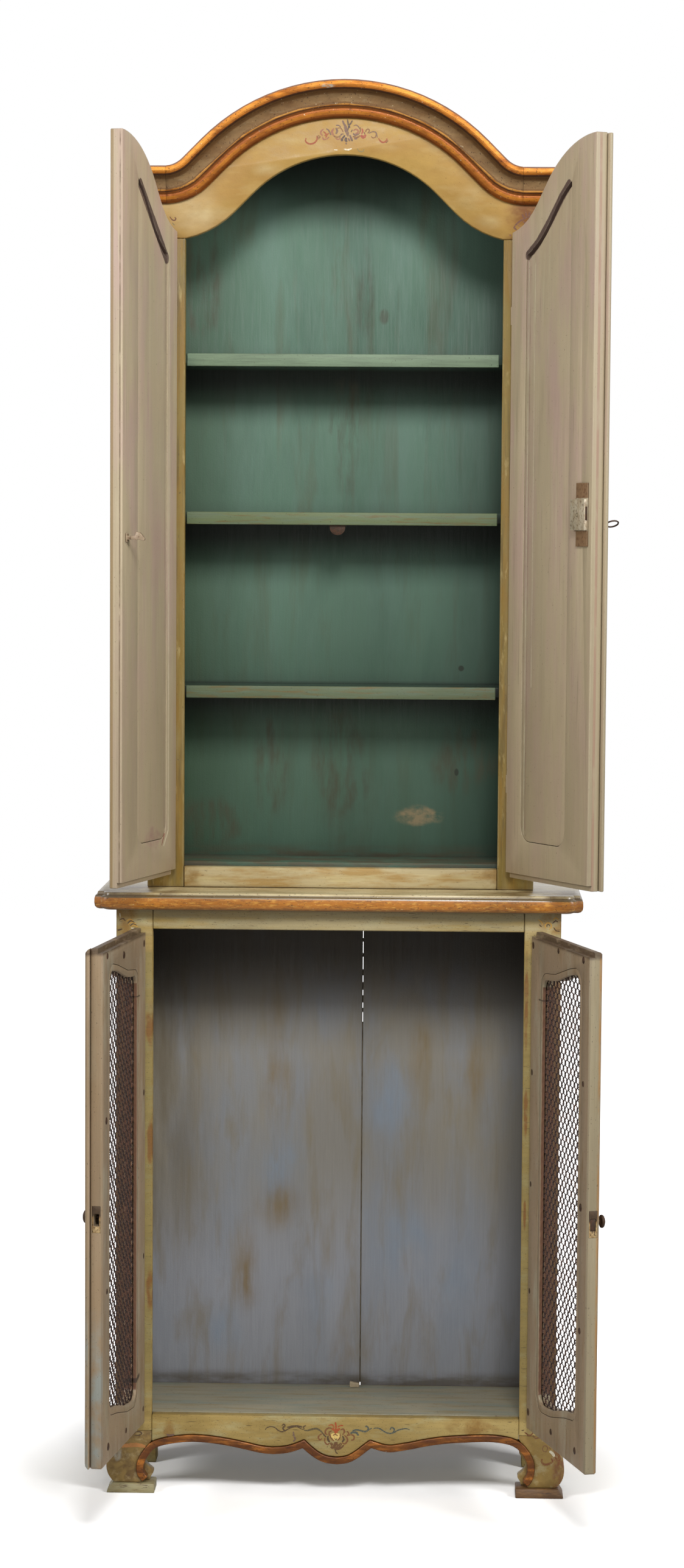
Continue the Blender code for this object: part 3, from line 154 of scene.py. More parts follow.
def patchMask(tree, place, axes, faces, layer, number):
    # how much of a layer shows: blotches or streaks, held to bands, spots, edges, corners darkened by grime and
    # painted shade, or one side of a board
    parts = []
    if layer["patch"]:
        moved = addNode(tree, "ShaderNodeMapping", {
            "Vector": place, "Location": [number * shift for shift in limits["shift"]],
            "Scale": [1000 / size for size in layer["patch"]]})
        noise = addNode(tree, "ShaderNodeTexNoise", {
            "Vector": moved, "Scale": 1, "Detail": layer.get("detail", limits["detail"]),
            "Roughness": limits["grit"], "Distortion": layer.get("swirl", 0)})
        low, high = layer["cover"]
        parts.append(addNode(tree, "ShaderNodeMapRange", {"Value": noise, "From Min": low, "From Max": high}))
    for axis, start, end in layer.get("bands", ()):
        parts.append(addNode(tree, "ShaderNodeMapRange", {
            "Value": axes[axis], "From Min": start / 1000, "From Max": end / 1000},
            interpolation_type="SMOOTHSTEP"))
    if "spots" in layer:
        ragged = addNode(tree, "ShaderNodeTexNoise", {
            "Vector": place, "Scale": 1000 / layer.get("ragged", limits["ragged"]),
            "Detail": limits["raggedDetail"]})
        rough = addNode(tree, "ShaderNodeMath", {0: ragged, 1: layer.get("tear", limits["tear"])},
                        operation="MULTIPLY")
        found = []
        for x, z, wide, high, *deep in layer["spots"]:
            reach = (wide, *(deep or [limits["spotReach"]]), high)
            near = addNode(tree, "ShaderNodeMapping", {
                "Vector": place, "Location": (x / 1000, layer["depth"] / 1000, z / 1000),
                "Scale": [size / 1000 for size in reach]}, vector_type="TEXTURE")
            away = addNode(tree, "ShaderNodeVectorMath", {0: near}, operation="LENGTH")
            torn = addNode(tree, "ShaderNodeMath", {0: away.outputs["Value"], 1: rough})
            found.append(addNode(tree, "ShaderNodeMapRange", {
                "Value": torn, "From Min": limits["spotEnd"],
                "From Max": layer.get("core", limits["spotCore"])}, interpolation_type="SMOOTHSTEP"))
        parts.append(anyOf(tree, found))
    if "slashes" in layer:
        waver = addNode(tree, "ShaderNodeTexNoise", {
            "Vector": place, "Scale": limits["slashScale"], "Detail": limits["slashDetail"]})
        waver = addNode(tree, "ShaderNodeMapRange", {
            "Value": waver, "To Min": -limits["waver"] / 1000, "To Max": limits["waver"] / 1000})
        found = []
        for x1, z1, x2, z2, width in layer["slashes"]:
            turned = addNode(tree, "ShaderNodeMapping", {
                "Vector": place, "Location": ((x1 + x2) / 2000, 0, (z1 + z2) / 2000),
                "Rotation": (0, -math.atan2(z2 - z1, x2 - x1), 0)}, vector_type="TEXTURE")
            parted = addNode(tree, "ShaderNodeSeparateXYZ", {0: turned}).outputs
            along = addNode(tree, "ShaderNodeMath", {0: parted[0]}, operation="ABSOLUTE")
            beyond = addNode(tree, "ShaderNodeMath", {0: along, 1: math.hypot(x2 - x1, z2 - z1) / 2000},
                             operation="SUBTRACT")
            beyond = addNode(tree, "ShaderNodeMath", {0: beyond, 1: 0}, operation="MAXIMUM")
            offset = addNode(tree, "ShaderNodeCombineXYZ", {0: beyond, 2: parted[2]})
            away = addNode(tree, "ShaderNodeVectorMath", {0: offset}, operation="LENGTH")
            torn = addNode(tree, "ShaderNodeMath", {0: away.outputs["Value"], 1: waver})
            found.append(addNode(tree, "ShaderNodeMapRange", {
                "Value": torn, "From Min": (width / 2 + limits["slashSoft"]) / 1000,
                "From Max": (width / 2 - limits["slashSoft"]) / 1000}))
        parts.append(anyOf(tree, found))
    ranges = []
    if "edges" in layer:
        rounded = addNode(tree, "ShaderNodeBevel", {"Radius": layer["edges"] / 1000}, samples=limits["samples"])
        plain = addNode(tree, "ShaderNodeNewGeometry")
        same = addNode(tree, "ShaderNodeVectorMath", {0: rounded, 1: plain.outputs["Normal"]},
                       operation="DOT_PRODUCT")
        ranges.append((same.outputs["Value"], *limits["edge"]))
    # corners: ambient occlusion darkens the colour near corners and recesses, grime together with painted shade
    if "corners" in layer:
        dark = addNode(tree, "ShaderNodeAmbientOcclusion", {"Distance": layer["corners"] / 1000},
                       samples=limits["samples"])
        ranges.append((dark.outputs["AO"], *limits["corner"]))
    if "facing" in layer:
        side = addNode(tree, "ShaderNodeVectorMath", {0: faces, 1: layer["facing"]}, operation="DOT_PRODUCT")
        ranges.append((side.outputs["Value"], *limits["facing"]))
    if "across" in layer:
        rise = addNode(tree, "ShaderNodeAttribute", attribute_name="profileRise").outputs["Fac"]
        start, end = layer["across"]
        ranges += [(rise, start - limits["acrossSoft"], start), (rise, end + limits["acrossSoft"], end)]
    for value, low, high in ranges:
        parts.append(addNode(tree, "ShaderNodeMapRange", {"Value": value, "From Min": low, "From Max": high}))
    mask = layer["amount"]
    for part in parts:
        mask = addNode(tree, "ShaderNodeMath", {0: part, 1: mask}, operation="MULTIPLY")
    return mask


# Brush marks run along the grain, and fine grit breaks them up; its size is in millimetres
brushwork = {"detail": 6, "roughness": 0.65, "low": 0.3, "high": 0.7, "spread": 0.12, "grit": 2.5, "gritDetail": 3,
             "bump": 0.0006, "varnish": 0.25, "ior": 1.47}


def layeredFinish(name, body, finish):
    material = bpy.data.materials.new(name)
    tree = emptyTree(material)
    place = patternPlace(tree, body)
    axes = addNode(tree, "ShaderNodeSeparateXYZ", {0: place}).outputs
    faces = boardNormal(tree, body)
    colour = toLinear(finish["base"])
    shine = finish["roughness"]
    for number, layer in enumerate(finish["layers"], 1):
        mask = patchMask(tree, place, axes, faces, layer, number)
        colour = addNode(tree, "ShaderNodeMix", {0: mask, 6: colour, 7: toLinear(layer["colour"])},
                         data_type="RGBA").outputs[2]
        if "roughness" in layer:
            shine = addNode(tree, "ShaderNodeMix", {0: mask, 2: shine, 3: layer["roughness"]})
    moved = addNode(tree, "ShaderNodeMapping", {
        "Vector": place, "Scale": [1000 / size for size in finish["brush"]]})
    strokes = addNode(tree, "ShaderNodeTexNoise", {
        "Vector": moved, "Scale": 1, "Detail": brushwork["detail"], "Roughness": brushwork["roughness"]})
    streak = {"Value": strokes, "From Min": brushwork["low"], "From Max": brushwork["high"]}
    tone = addNode(tree, "ShaderNodeMapRange", {
        **streak, "To Min": 1 - finish["tone"], "To Max": 1 + finish["tone"]})
    toned = addNode(tree, "ShaderNodeVectorMath", {0: colour, "Scale": tone}, operation="SCALE")
    rough = addNode(tree, "ShaderNodeMapRange", {
        **streak, "To Min": -brushwork["spread"], "To Max": brushwork["spread"]})
    roughness = addNode(tree, "ShaderNodeMath", {0: rough, 1: shine}, use_clamp=True)
    grit = addNode(tree, "ShaderNodeTexNoise", {
        "Vector": place, "Scale": 1000 / finish.get("grit", brushwork["grit"]),
        "Detail": brushwork["gritDetail"]})
    height = addNode(tree, "ShaderNodeMath", {0: strokes, 1: grit})
    bump = addNode(tree, "ShaderNodeBump", {
        "Strength": finish["relief"], "Distance": brushwork["bump"], "Height": height})
    shader = addNode(tree, "ShaderNodeBsdfPrincipled", {
        "Base Color": toned, "Roughness": roughness, "Normal": bump,
        "Metallic": finish.get("metallic", 0)})
    if "coat" in finish:
        shader.inputs["Coat Weight"].default_value = finish["coat"]
        shader.inputs["Coat Roughness"].default_value = brushwork["varnish"]
    if not finish.get("metallic"):
        shader.inputs["IOR"].default_value = brushwork["ior"]
    addNode(tree, "ShaderNodeOutputMaterial", {"Surface": shader})
    return material


# Finishes. All places and sizes are in millimetres on the shut case. A layer has its colour, how much of it shows,
# its blotches' size, and the noise at which they begin and are full. A band goes from nothing to full along an
# axis. A spot is x, z, half its width and height and, if not the usual, how deep it reaches. A slash runs from
# x, z to x, z with its width. Across is a share of the cornice's section. Rounding is how far edges are worn.
# Corner grime and shade, a reach in millimetres, darkens near corners and recesses: grime with painted shade.

def coat(colour, amount, patch=None, cover=None, **where):
    return {"colour": colour, "amount": amount, "patch": patch, "cover": cover, **where}


rawWood = "#7d6246"
left, right, up, down, back, front = (-1, 0, 0), (1, 0, 0), (0, 0, 1), (0, 0, -1), (0, 1, 0), (0, -1, 0)
bareBack = coat(rawWood, 1, facing=back, roughness=0.8)

# Satin oil paint, yellowed cream with a wiped ochre glaze: warm, cloudy, darker in the corners from grime and
# painted shade, rubbed at the edges.
friezePaint = dict(label="ochreGlazedFrieze", base="#a68441", roughness=0.5, brush=(26, 30, 14), tone=0.07,
    relief=0.25, rounding=1.6, layers=[
    coat("#9a7236", 0.6, (120, 60, 50), (0.42, 0.66), swirl=0.2),
    coat("#b39a62", 0.5, (80, 60, 30), (0.52, 0.7), swirl=0.2),
    coat("#c8b88c", 0.6, (50, 30, 26), (0.26, 0.72), core=0.3, ragged=60, depth=70,
         spots=[(-225, 2040, 50, 25), (68, 2148, 30, 16), (205, 2075, 30, 22), (235, 2030, 30, 16),
         (-120, 2110, 40, 16)]),
    coat("#c6b48c", 0.75, (70, 40, 40), (0.2, 0.6), core=0.3, ragged=70, depth=70,
         spots=[(-235, 2040, 90, 55)]),
    coat("#6a3b06", 0.97, (40, 40, 30), (0.2, 0.45), core=0.7, ragged=45, depth=70,
         spots=[(290, 2045, 50, 45), (-300, 2020, 40, 30), (262, 1985, 20, 30)]),
    coat("#7c5428", 0.6, corners=14),
    coat("#6a4a22", 0.85, (18, 18, 18), (0.36, 0.55), edges=1.6),
    coat("#57401f", 0.6, (3.2, 3.2, 2.2), (0.69, 0.73), detail=2),
    bareBack])

stilePaint = dict(friezePaint, label="ochreGlazedStile", base="#7f6a2e", brush=(3, 3, 70), tone=0.1,
    layers=[
    coat("#80601a", 0.75, (30, 30, 110), (0.42, 0.58)),
    coat("#54451c", 0.6, (10, 10, 150), (0.52, 0.64)),
    coat("#b09c66", 0.7, (14, 14, 60), (0.58, 0.68)),
    coat("#8c7c50", 0.7, (20, 20, 160), (0.48, 0.64), bands=[("Z", 1700, 1100)]),
    coat("#c9bea0", 0.85, (10, 10, 60), (0.36, 0.52), edges=1.5),
    coat("#5a4424", 0.65, corners=16),
    coat("#4b3a20", 0.7, (2.6, 2.6, 5), (0.69, 0.73), detail=2),
    bareBack])

upperRailPaint = dict(friezePaint, label="ochreGlazedRail", base="#c0b086", brush=(90, 4, 3), tone=0.1,
    layers=[
    coat("#a98442", 0.75, (80, 30, 16), (0.45, 0.62)),
    coat("#cbbd8c", 0.7, (120, 30, 12), (0.52, 0.66)),
    coat("#8a6a30", 0.85, (30, 30, 20), (0.3, 0.6), ragged=40, depth=70, spots=[(-260, 990, 50, 30),
         (270, 990, 60, 40)]),
    coat("#6b522a", 0.8, (30, 6, 6), (0.4, 0.56), edges=1.5),
    coat("#4c3a1e", 0.7, corners=12),
    coat("#54401f", 0.6, (6, 2.6, 2), (0.68, 0.72), detail=2),
    bareBack])

# The same cream on the lower case, greener and dirtier, speckled with small dark dots.
lowerFramePaint = dict(label="speckledCreamPaint", base="#a88f52", roughness=0.5, brush=(70, 4, 4),
    tone=0.09, relief=0.3, rounding=1.6, layers=[
    coat("#937b41", 0.75, (70, 60, 26), (0.45, 0.62)),
    coat("#b0a87c", 0.65, (60, 60, 18), (0.5, 0.66)),
    # painted light: the right part of the apron, below the opening, lighter
    coat("#c8b070", 0.55, bands=[("X", 60, 260), ("Z", 127, 120)]),
    coat("#7f7242", 0.65, facing=front, bands=[("X", -272, -277), ("Z", 120, 200), ("Z", 880, 870)]),
    coat("#7f7242", 0.5, facing=front, bands=[("X", 272, 277), ("Z", 120, 200), ("Z", 880, 870)]),
    coat("#a59a78", 0.7, (200, 40, 14), (0.3, 0.55), bands=[("Z", 895, 910)]),
    coat("#8f6a2e", 0.85, (26, 26, 40), (0.34, 0.56), ragged=30, depth=0, spots=[(-345, 925, 30, 40, 50),
         (340, 930, 25, 30, 50), (-266, 100, 12, 22), (215, 112, 50, 16)]),
    coat("#7c5220", 0.9, (16, 30, 30), (0.3, 0.52), depth=0, spots=[(-299, 756, 8, 45), (-297, 565, 8, 50),
         (-298, 330, 8, 40), (299, 800, 4, 90), (300, 620, 4, 50), (300, 460, 3, 30)]),
    # painted shade of the open doors: the outer strips of both stiles brown
    coat("#6f4f36", 0.85, facing=front, bands=[("Z", 885, 875), ("Z", 130, 150), ("X", 306, 309)]),
    coat("#6f4f36", 0.85, facing=front, bands=[("Z", 885, 875), ("Z", 130, 150), ("X", -306, -309)]),
    coat("#6b5229", 0.75, (16, 16, 16), (0.38, 0.58), edges=1.8),
    coat("#3f2f19", 0.6, corners=12),
    coat("#40301c", 0.8, (2.6, 2.6, 1.7), (0.64, 0.69), detail=2),
    coat("#4a3820", 0.75, (26, 3, 2), (0.66, 0.7), detail=3),
    bareBack])


# The sides' inner faces have the inside's colour: clear of the middle by a reach, clouded with a second tone.
def innerFaces(colour, cloud, reach=200, soft=10):
    return [coat(tone, *blotch, facing=side, bands=[("X", sign * reach, sign * (reach + soft))])
            for tone, blotch in ((colour, (1,)), (cloud, (0.6, (60, 60, 260), (0.46, 0.64))))
            for side, sign in ((right, -1), (left, 1))]


upperSidePaint = dict(stilePaint, label="upperSidePaint",
                      layers=stilePaint["layers"] + innerFaces("#5f7c6a", "#557362"))

# The lower sides' boards stand upright, so the brush went up and down.
lowerSidePaint = dict(lowerFramePaint, label="lowerSidePaint", brush=(4, 4, 90), layers=[
    coat("#937b41", 0.75, (60, 50, 200), (0.45, 0.62)),
    coat("#b0a87c", 0.6, (40, 24, 140), (0.5, 0.66)),
    coat("#6b5229", 0.75, (16, 16, 16), (0.38, 0.58), edges=1.8),
    coat("#3f2f19", 0.6, corners=12),
    coat("#40301c", 0.8, (2.6, 2.6, 1.7), (0.64, 0.69), detail=2),
    bareBack] + innerFaces("#8a8882", "#80714f"))

leftFootPaint = dict(lowerFramePaint, label="patchedFootPaint", base="#836a38", brush=(14, 14, 14), layers=[
    coat("#5c4420", 0.8, (26, 26, 20), (0.44, 0.6), swirl=0.6),
    coat("#a8956a", 0.6, (18, 18, 14), (0.54, 0.66)),
    coat("#5a4228", 0.7, (9, 9, 9), (0.58, 0.68)),
    coat("#958f80", 0.8, (9, 9, 12), (0.3, 0.5), ragged=14, depth=0, spots=[(-350, 62, 8, 16)]),
    coat("#3f2f19", 0.6, corners=10),
    coat("#b5a37c", 0.6, (7, 7, 7), (0.5, 0.62), edges=1.4)])

rightFootPaint = dict(lowerFramePaint, label="flecklessFootPaint", base="#94793f", brush=(14, 14, 14),
    layers=[
    coat("#8c7038", 0.75, (24, 24, 20), (0.45, 0.6), swirl=0.6),
    coat("#b0a37a", 0.65, (18, 18, 18), (0.52, 0.66)),
    coat("#7a5030", 0.85, (9, 20, 14), (0.36, 0.55), bands=[("X", 346, 354)]),
    coat("#3f2f19", 0.6, corners=9),
    coat("#4c3921", 0.7, (2.4, 2.4, 2), (0.66, 0.71), detail=2)])

# Foot blocks worn to the wood where shoes and brooms strike them.
blockPaint = dict(lowerFramePaint, label="scuffedBlockPaint", base="#938a66", brush=(50, 6, 3), layers=[
    coat("#7c6a40", 0.75, (40, 30, 9), (0.46, 0.62)),
    coat("#5a3c20", 0.95, bands=[("X", 0, 100)]),
    coat("#7c5a34", 0.7, (22, 14, 5), (0.5, 0.62), bands=[("X", 0, 100)]),
    coat("#4a3322", 0.75, (14, 10, 4), (0.56, 0.66)),
    coat("#a79c78", 0.6, (10, 5, 5), (0.5, 0.6), edges=1.3)])

# Thin teal distemper brushed up and down on bare boards: chalky, with brown glaze wiped down in soft streaks.
# Painted shade darkens it towards the bottom and the sides, under the shelves and the crown, and in the corners.
tealPaint = dict(label="tealDistemper", base="#648471", roughness=0.62, brush=(2.4, 3, 60), tone=0.06,
    relief=0.3, rounding=1, layers=[
    coat("#708e80", 0.6, (90, 60, 300), (0.44, 0.64), swirl=0.3),
    coat("#557362", 0.6, (60, 60, 260), (0.46, 0.64), swirl=0.3),
    coat("#5f5b42", 0.45, (34, 40, 260), (0.52, 0.7), swirl=0.4),
    # painted shade: the teal darker towards the bottom
    coat("#405a48", 0.66, bands=[("Z", 1850, 1050)]),
    # painted shade: the teal darker towards the right and the left sides
    coat("#2a3c30", 0.8, bands=[("X", 100, 270)]),
    coat("#34462e", 0.7, bands=[("X", -100, -270)]),
    # painted shadows under the three shelves: near-black bands just below each shelf
    *[coat("#12140d", 0.93, bands=[("Z", start, full), ("Z", shelf, shelf - 10)])
      for start, full, shelf in ((1715, 1790, 1810), (1475, 1540, 1570), (1215, 1275, 1300))],
    # painted shade under the crown: near-black at the top of the upper case
    coat("#100f0a", 0.93, bands=[("Z", 2000, 2150)]),
    coat("#4c4432", 0.6, (16, 12, 80), (0.4, 0.62), ragged=60, depth=230, spots=[(-237, 1950, 50, 120),
         (-214, 1070, 70, 50), (-115, 1160, 40, 100), (0, 1150, 60, 120), (61, 1889, 10, 14),
         (0, 1700, 30, 120), (30, 1930, 20, 100), (200, 1170, 70, 60)]),
    coat("#584a36", 0.8, (60, 40, 12), (0.35, 0.6), bands=[("Z", 1035, 1010)]),
    coat("#a38f6c", 0.85, (18, 18, 12), (0.3, 0.6), ragged=22, tear=0.9, depth=230,
         spots=[(123, 1078, 42, 16)]),
    coat("#2c3127", 0.9, tear=0.4, depth=230, spots=[(191, 1320, 4, 4), (185, 1150, 3, 5)]),
    # painted shade in the teal's corners and recesses, reaching far into the compartments
    coat("#1d241c", 0.5, corners=60),
    coat("#b5a678", 0.7, (18, 6, 6), (0.42, 0.58), edges=1.4),
    bareBack])

# The roof is teal within only, and bare wood on its outside.
roofPaint = dict(tealPaint, label="tealInsideBareOutside", layers=tealPaint["layers"] + [
    coat(rawWood, 1, facing=up, roughness=0.8),
    coat(rawWood, 1, facing=left, roughness=0.8, bands=[("X", -20, -40)]),
    coat(rawWood, 1, facing=right, roughness=0.8, bands=[("X", 20, 40)])])

# Shelf facings: thin green-grey brushed along, the cream undercoat showing on the worn edges.
shelfPaint = dict(label="shelfEdgePaint", base="#7a8e74", roughness=0.55, brush=(60, 3, 2), tone=0.1,
    relief=0.3, rounding=1.2, layers=[
    coat("#606a42", 0.8, bands=[("Z", 1700, 1600)]),
    coat("#56604a", 0.6, bands=[("Z", 1450, 1350)]),
    coat("#64735f", 0.6, (90, 20, 6), (0.46, 0.62)),
    coat("#6b5c36", 0.8, (50, 20, 5), (0.54, 0.66), bands=[("Z", 1750, 1600)]),
    coat("#c9b994", 0.95, (40, 5, 5), (0.34, 0.48), edges=1.0),
    coat("#3b3a2a", 0.7, (3, 3, 3), (0.68, 0.72), detail=2),
    coat("#6a4c2c", 0.9, tear=0.5, depth=100, spots=[(262, 1810, 4, 30), (258, 1560, 2, 30),
         (258, 1280, 2, 30)])])

# Grey-blue distemper over ochre: cloudy, brushed up and down, the ochre grinning through in long tears.
bluePaint = dict(label="greyBlueDistemper", base="#8b877f", roughness=0.66, brush=(2.6, 3, 70), tone=0.07,
    relief=0.3, rounding=0.8, layers=[
    coat("#8c8576", 0.7, (90, 60, 300), (0.44, 0.64), swirl=0.3),
    coat("#9a9ea8", 0.8, bands=[("Z", 520, 300)]),
    coat("#858c96", 0.6, (90, 60, 260), (0.46, 0.68), swirl=0.3),
    coat("#80714f", 0.5, (34, 40, 200), (0.5, 0.7), swirl=0.4),
    coat("#5c5038", 0.65, (40, 40, 240), (0.25, 0.6), bands=[("X", -170, -300), ("Z", 200, 550)]),
    # painted shade: the blue darker towards the right side
    coat("#55524c", 0.55, bands=[("X", 200, 310)]),
    coat("#7f683a", 0.85, (24, 30, 130), (0.32, 0.64), core=0.5, ragged=70, depth=230,
         spots=[(-156, 315, 30, 110), (-107, 620, 35, 200), (129, 675, 30, 100), (-100, 430, 50, 60),
         (0, 174, 30, 70), (220, 656, 30, 90)]),
    coat("#8494a6", 0.65, (30, 30, 110), (0.32, 0.62), core=0.5, ragged=70, depth=230,
         spots=[(-29, 276, 30, 60), (79, 620, 60, 140), (-100, 500, 60, 100), (100, 360, 80, 100),
         (-200, 220, 50, 70), (200, 300, 50, 80)]),
    # painted shade under the top: near-black at the top of the lower case
    coat("#231d13", 0.9, bands=[("Z", 720, 860)]),
    coat("#544a3a", 0.7, (80, 40, 20), (0.35, 0.6), bands=[("Z", 155, 135)]),
    # painted shade in the blue's corners and recesses, reaching far into the compartment
    coat("#4a4030", 0.5, corners=50),
    bareBack])

# The lower floor: worn grey-green satin paint, yellowed and scuffed along its front.
floorPaint = dict(label="greyGreenFloorPaint", base="#9a937d", roughness=0.5, brush=(90, 5, 3), tone=0.08,
    relief=0.25, rounding=1.2, layers=[
    coat("#848c80", 0.75, (120, 26, 30), (0.46, 0.62)),
    coat("#8c7a50", 0.6, (90, 14, 30), (0.52, 0.66)),
    coat("#a79f84", 0.6, (60, 20, 30), (0.4, 0.6), bands=[("Y", 50, 20)]),
    coat("#5c503a", 0.7, (5, 4, 5), (0.66, 0.71), detail=2),
    coat("#4a4030", 0.55, corners=20)])

# Taupe satin paint on the doors' insides, dragged with a dry brush: fine upright streaks, a little pink,
# darker towards the bottom as painted shade, dark brown in the sloping slots above the panels.
slotLines = {
    "left": [(-84, 2070, -146, 2019, 17), (-146, 2019, -211, 1966, 18)],
    "right": [(84, 2073, 106, 2056, 15), (106, 2056, 144, 2020, 15), (144, 2020, 180, 1990, 15),
              (180, 1990, 211, 1973, 15)]}
doorPaint = dict(label="draggedTaupePaint", base="#b9a88b", roughness=0.5, brush=(2.2, 2.2, 90), tone=0.06,
    relief=0.28, rounding=1.4, layers=[
    coat("#a6967c", 0.55, (24, 24, 320), (0.46, 0.66)),
    coat("#b89c90", 0.75, (50, 50, 260), (0.44, 0.64)),
    coat("#c4b798", 0.45, (9, 9, 200), (0.56, 0.68)),
    # painted shade: the taupe darker towards the bottom
    coat("#9c8c6e", 0.6, bands=[("Z", 1700, 1050)]),
    coat("#7d7258", 0.45, (4, 4, 160), (0.62, 0.7)),
    coat("#9b8e72", 0.75, facing=left),
    coat("#8a7148", 0.8, facing=right, bands=[("Y", 57.5, 56)]),
    coat("#5f4c34", 0.8, (20, 20, 40), (0.3, 0.5), facing=right,
         bands=[("Y", 66.2, 66.8), ("Y", 68.6, 68)]),
    coat("#92705c", 0.7, (20, 20, 60), (0.3, 0.5), facing=left, bands=[("Y", 60, 61), ("Y", 65.5, 64.5)]),
    coat("#8f6d62", 0.5, (30, 30, 60), (0.34, 0.55), slashes=[(-207, 1955, -207, 1074, 3.4),
         (203, 1955, 203, 1074, 3)]),
    coat("#d3c8ab", 0.7, (30, 30, 50), (0.32, 0.5), slashes=[(-224.5, 1962, -224.5, 1066, 2.6),
         (-224.5, 1066, -203, 1044, 3.4), (208, 1962, 208, 1066, 2.4), (188, 1960, 188, 1300, 1.8)]),
    coat("#7a3a34", 0.85, bands=[("Y", 62, 64)], slashes=[(-207, 1062, -193, 1046, 3)]),
    coat("#96726a", 0.6, (14, 14, 14), (0.34, 0.6), ragged=16, depth=70, spots=[(-150, 1060, 50, 20)]),
    # the sloping slots above the panels painted dark brown
    coat("#54403a", 0.97, bands=[("Y", 62, 64)], slashes=slotLines["left"] + slotLines["right"]),
    coat("#4a4034", 0.9, bands=[("Y", 62, 64)], slashes=[(57, 1578, 57, 1561, 5)]),
    coat("#cfc5a6", 0.75, (8, 8, 60), (0.4, 0.58), edges=1.6),
    coat("#6b5a3c", 0.6, corners=7),
    coat("#4e3f2b", 0.7, (2.4, 2.4, 3.4), (0.7, 0.74), detail=2)])

# The lower doors' taupe, older and greyer: scuffed, rusty by the netting, chipped to cream on the edges.
lowerDoorPaint = dict(label="wornTaupePaint", base="#968168", roughness=0.5, brush=(2.4, 2.4, 80),
    tone=0.08, relief=0.3, rounding=1.4, layers=[
    coat("#87755b", 0.6, (26, 26, 180), (0.44, 0.64)),
    coat("#a39c86", 0.55, (40, 40, 120), (0.5, 0.66)),
    coat("#7b6038", 0.55, (14, 14, 120), (0.56, 0.68)),
    coat("#8f785a", 0.75, facing=right),
    coat("#8f8468", 0.8, facing=left),
    coat("#8b9089", 0.9, (50, 50, 60), (0.42, 0.62), facing=right, bands=[("Z", 420, 260)]),
    coat("#9a6a2c", 0.8, (10, 10, 50), (0.4, 0.56), facing=left, bands=[("Y", -14, -18)]),
    coat("#613f29", 0.97, facing=right, bands=[("X", -242.5, -243.2), ("X", -246.2, -245.2)]),
    coat("#613f29", 0.97, facing=left, bands=[("X", 242.5, 243.2), ("X", 246.2, 245.2)]),
    coat("#c9bd9c", 0.6, (8, 8, 50), (0.42, 0.58), edges=1.5),
    coat("#463320", 0.7, corners=8),
    coat("#3d2a19", 0.8, (40, 40, 10), (0.3, 0.5), bands=[("Z", 900, 906)]),
    coat("#2f2118", 0.85, slashes=[(-262, 811, -240, 811, 2.2), (262, 811, 240, 811, 2.2),
         (-262, 203, -240, 197, 7)]),
    coat("#5d4028", 0.75, (20, 20, 40), (0.36, 0.52), slashes=[(31, 345, 31, 142, 1.6),
         (37, 400, 37, 160, 1.2), (43, 300, 43, 150, 1.4)]),
    coat("#3a2a1a", 0.75, (2.6, 2.6, 4), (0.67, 0.72), detail=2)])
# The covering strip is lighter, as hands keep it clean.
stripPaint = dict(lowerDoorPaint, label="coverStripPaint", base="#ab957a", layers=[
    layer for layer in lowerDoorPaint["layers"] if "corners" not in layer and layer.get("facing") != left])

# Bronze powder gilding over red-brown: metal shine on the rounds, worn to brown in the hollows. Painted highlights
# run along the torus, the ovolo and a fillet, and painted shade lies under the torus and along the ovolo's edges.
gilding = dict(label="bronzeGilding", base="#bd701c", roughness=0.42, brush=(16, 12, 5), tone=0.18,
    relief=0.35, metallic=0.45, grit=1.5, rounding=0, smoothUnder=38, layers=[
    coat("#7e3f14", 0.75, (46, 20, 12), (0.46, 0.62)),
    # painted highlight along the middle of the torus
    coat("#e79a3c", 0.85, (50, 40, 30), (0.38, 0.58), across=(0.83, 0.95)),
    coat("#74401c", 0.75, (30, 30, 30), (0.3, 0.5), across=(0.965, 1.3)),
    coat("#684b2a", 0.97, across=(0.36, 0.735), roughness=0.62),
    coat("#917650", 0.75, (60, 60, 30), (0.3, 0.7), across=(0.42, 0.62), roughness=0.62),
    coat("#978b70", 0.4, (24, 24, 9), (0.6, 0.72), across=(0.44, 0.6), roughness=0.62),
    # painted shadow: the dark band under the torus
    coat("#351b0c", 0.9, across=(0.735, 0.765)),
    # painted shade in the crease above the ovolo
    coat("#3a1e0d", 0.85, across=(0.285, 0.315)),
    # painted highlight: a bright line on the fillet
    coat("#d19648", 0.9, (40, 40, 20), (0.34, 0.5), across=(0.335, 0.355)),
    coat("#85460a", 0.85, across=(-0.5, 0.27)),
    # painted highlight along the middle of the ovolo
    coat("#c98026", 0.6, (60, 60, 30), (0.3, 0.55), across=(0.1, 0.17)),
    # painted shade along the ovolo's lower edge
    coat("#4f260b", 0.7, (60, 60, 30), (0.3, 0.5), across=(-0.5, 0.03)),
    coat("#4a260c", 0.7, corners=5),
    coat("#3c2010", 0.75, (3.4, 3.4, 3.4), (0.62, 0.69), detail=2),
    coat("#cdbd9a", 0.75, (5, 5, 3), (0.69, 0.73), detail=3),
    coat("#b3aa98", 0.9, (8, 8, 4), (0.3, 0.45), across=(0.78, 1.2), ragged=8, depth=60,
         spots=[(-26, 2236, 12, 4), (125, 2200, 16, 6)]),
    bareBack])

# Copper-brown rubbed gilding on the bead of the apron.
beadGilding = dict(label="copperGilding", base="#71400f", roughness=0.42, brush=(20, 8, 6), tone=0.2,
    relief=0.35, metallic=0.35, grit=1.5, rounding=2.2, segments=3, smoothUnder=50, layers=[
    coat("#b8722a", 0.6, (34, 20, 7), (0.5, 0.64)),
    coat("#52290b", 0.8, (34, 20, 9), (0.46, 0.62)),
    coat("#3c2010", 0.8, corners=6),
    coat("#2f1a0d", 0.7, (3.4, 3.4, 3), (0.64, 0.7), detail=2),
    coat("#dcb98a", 0.75, (14, 14, 9), (0.54, 0.64), edges=2.0)])

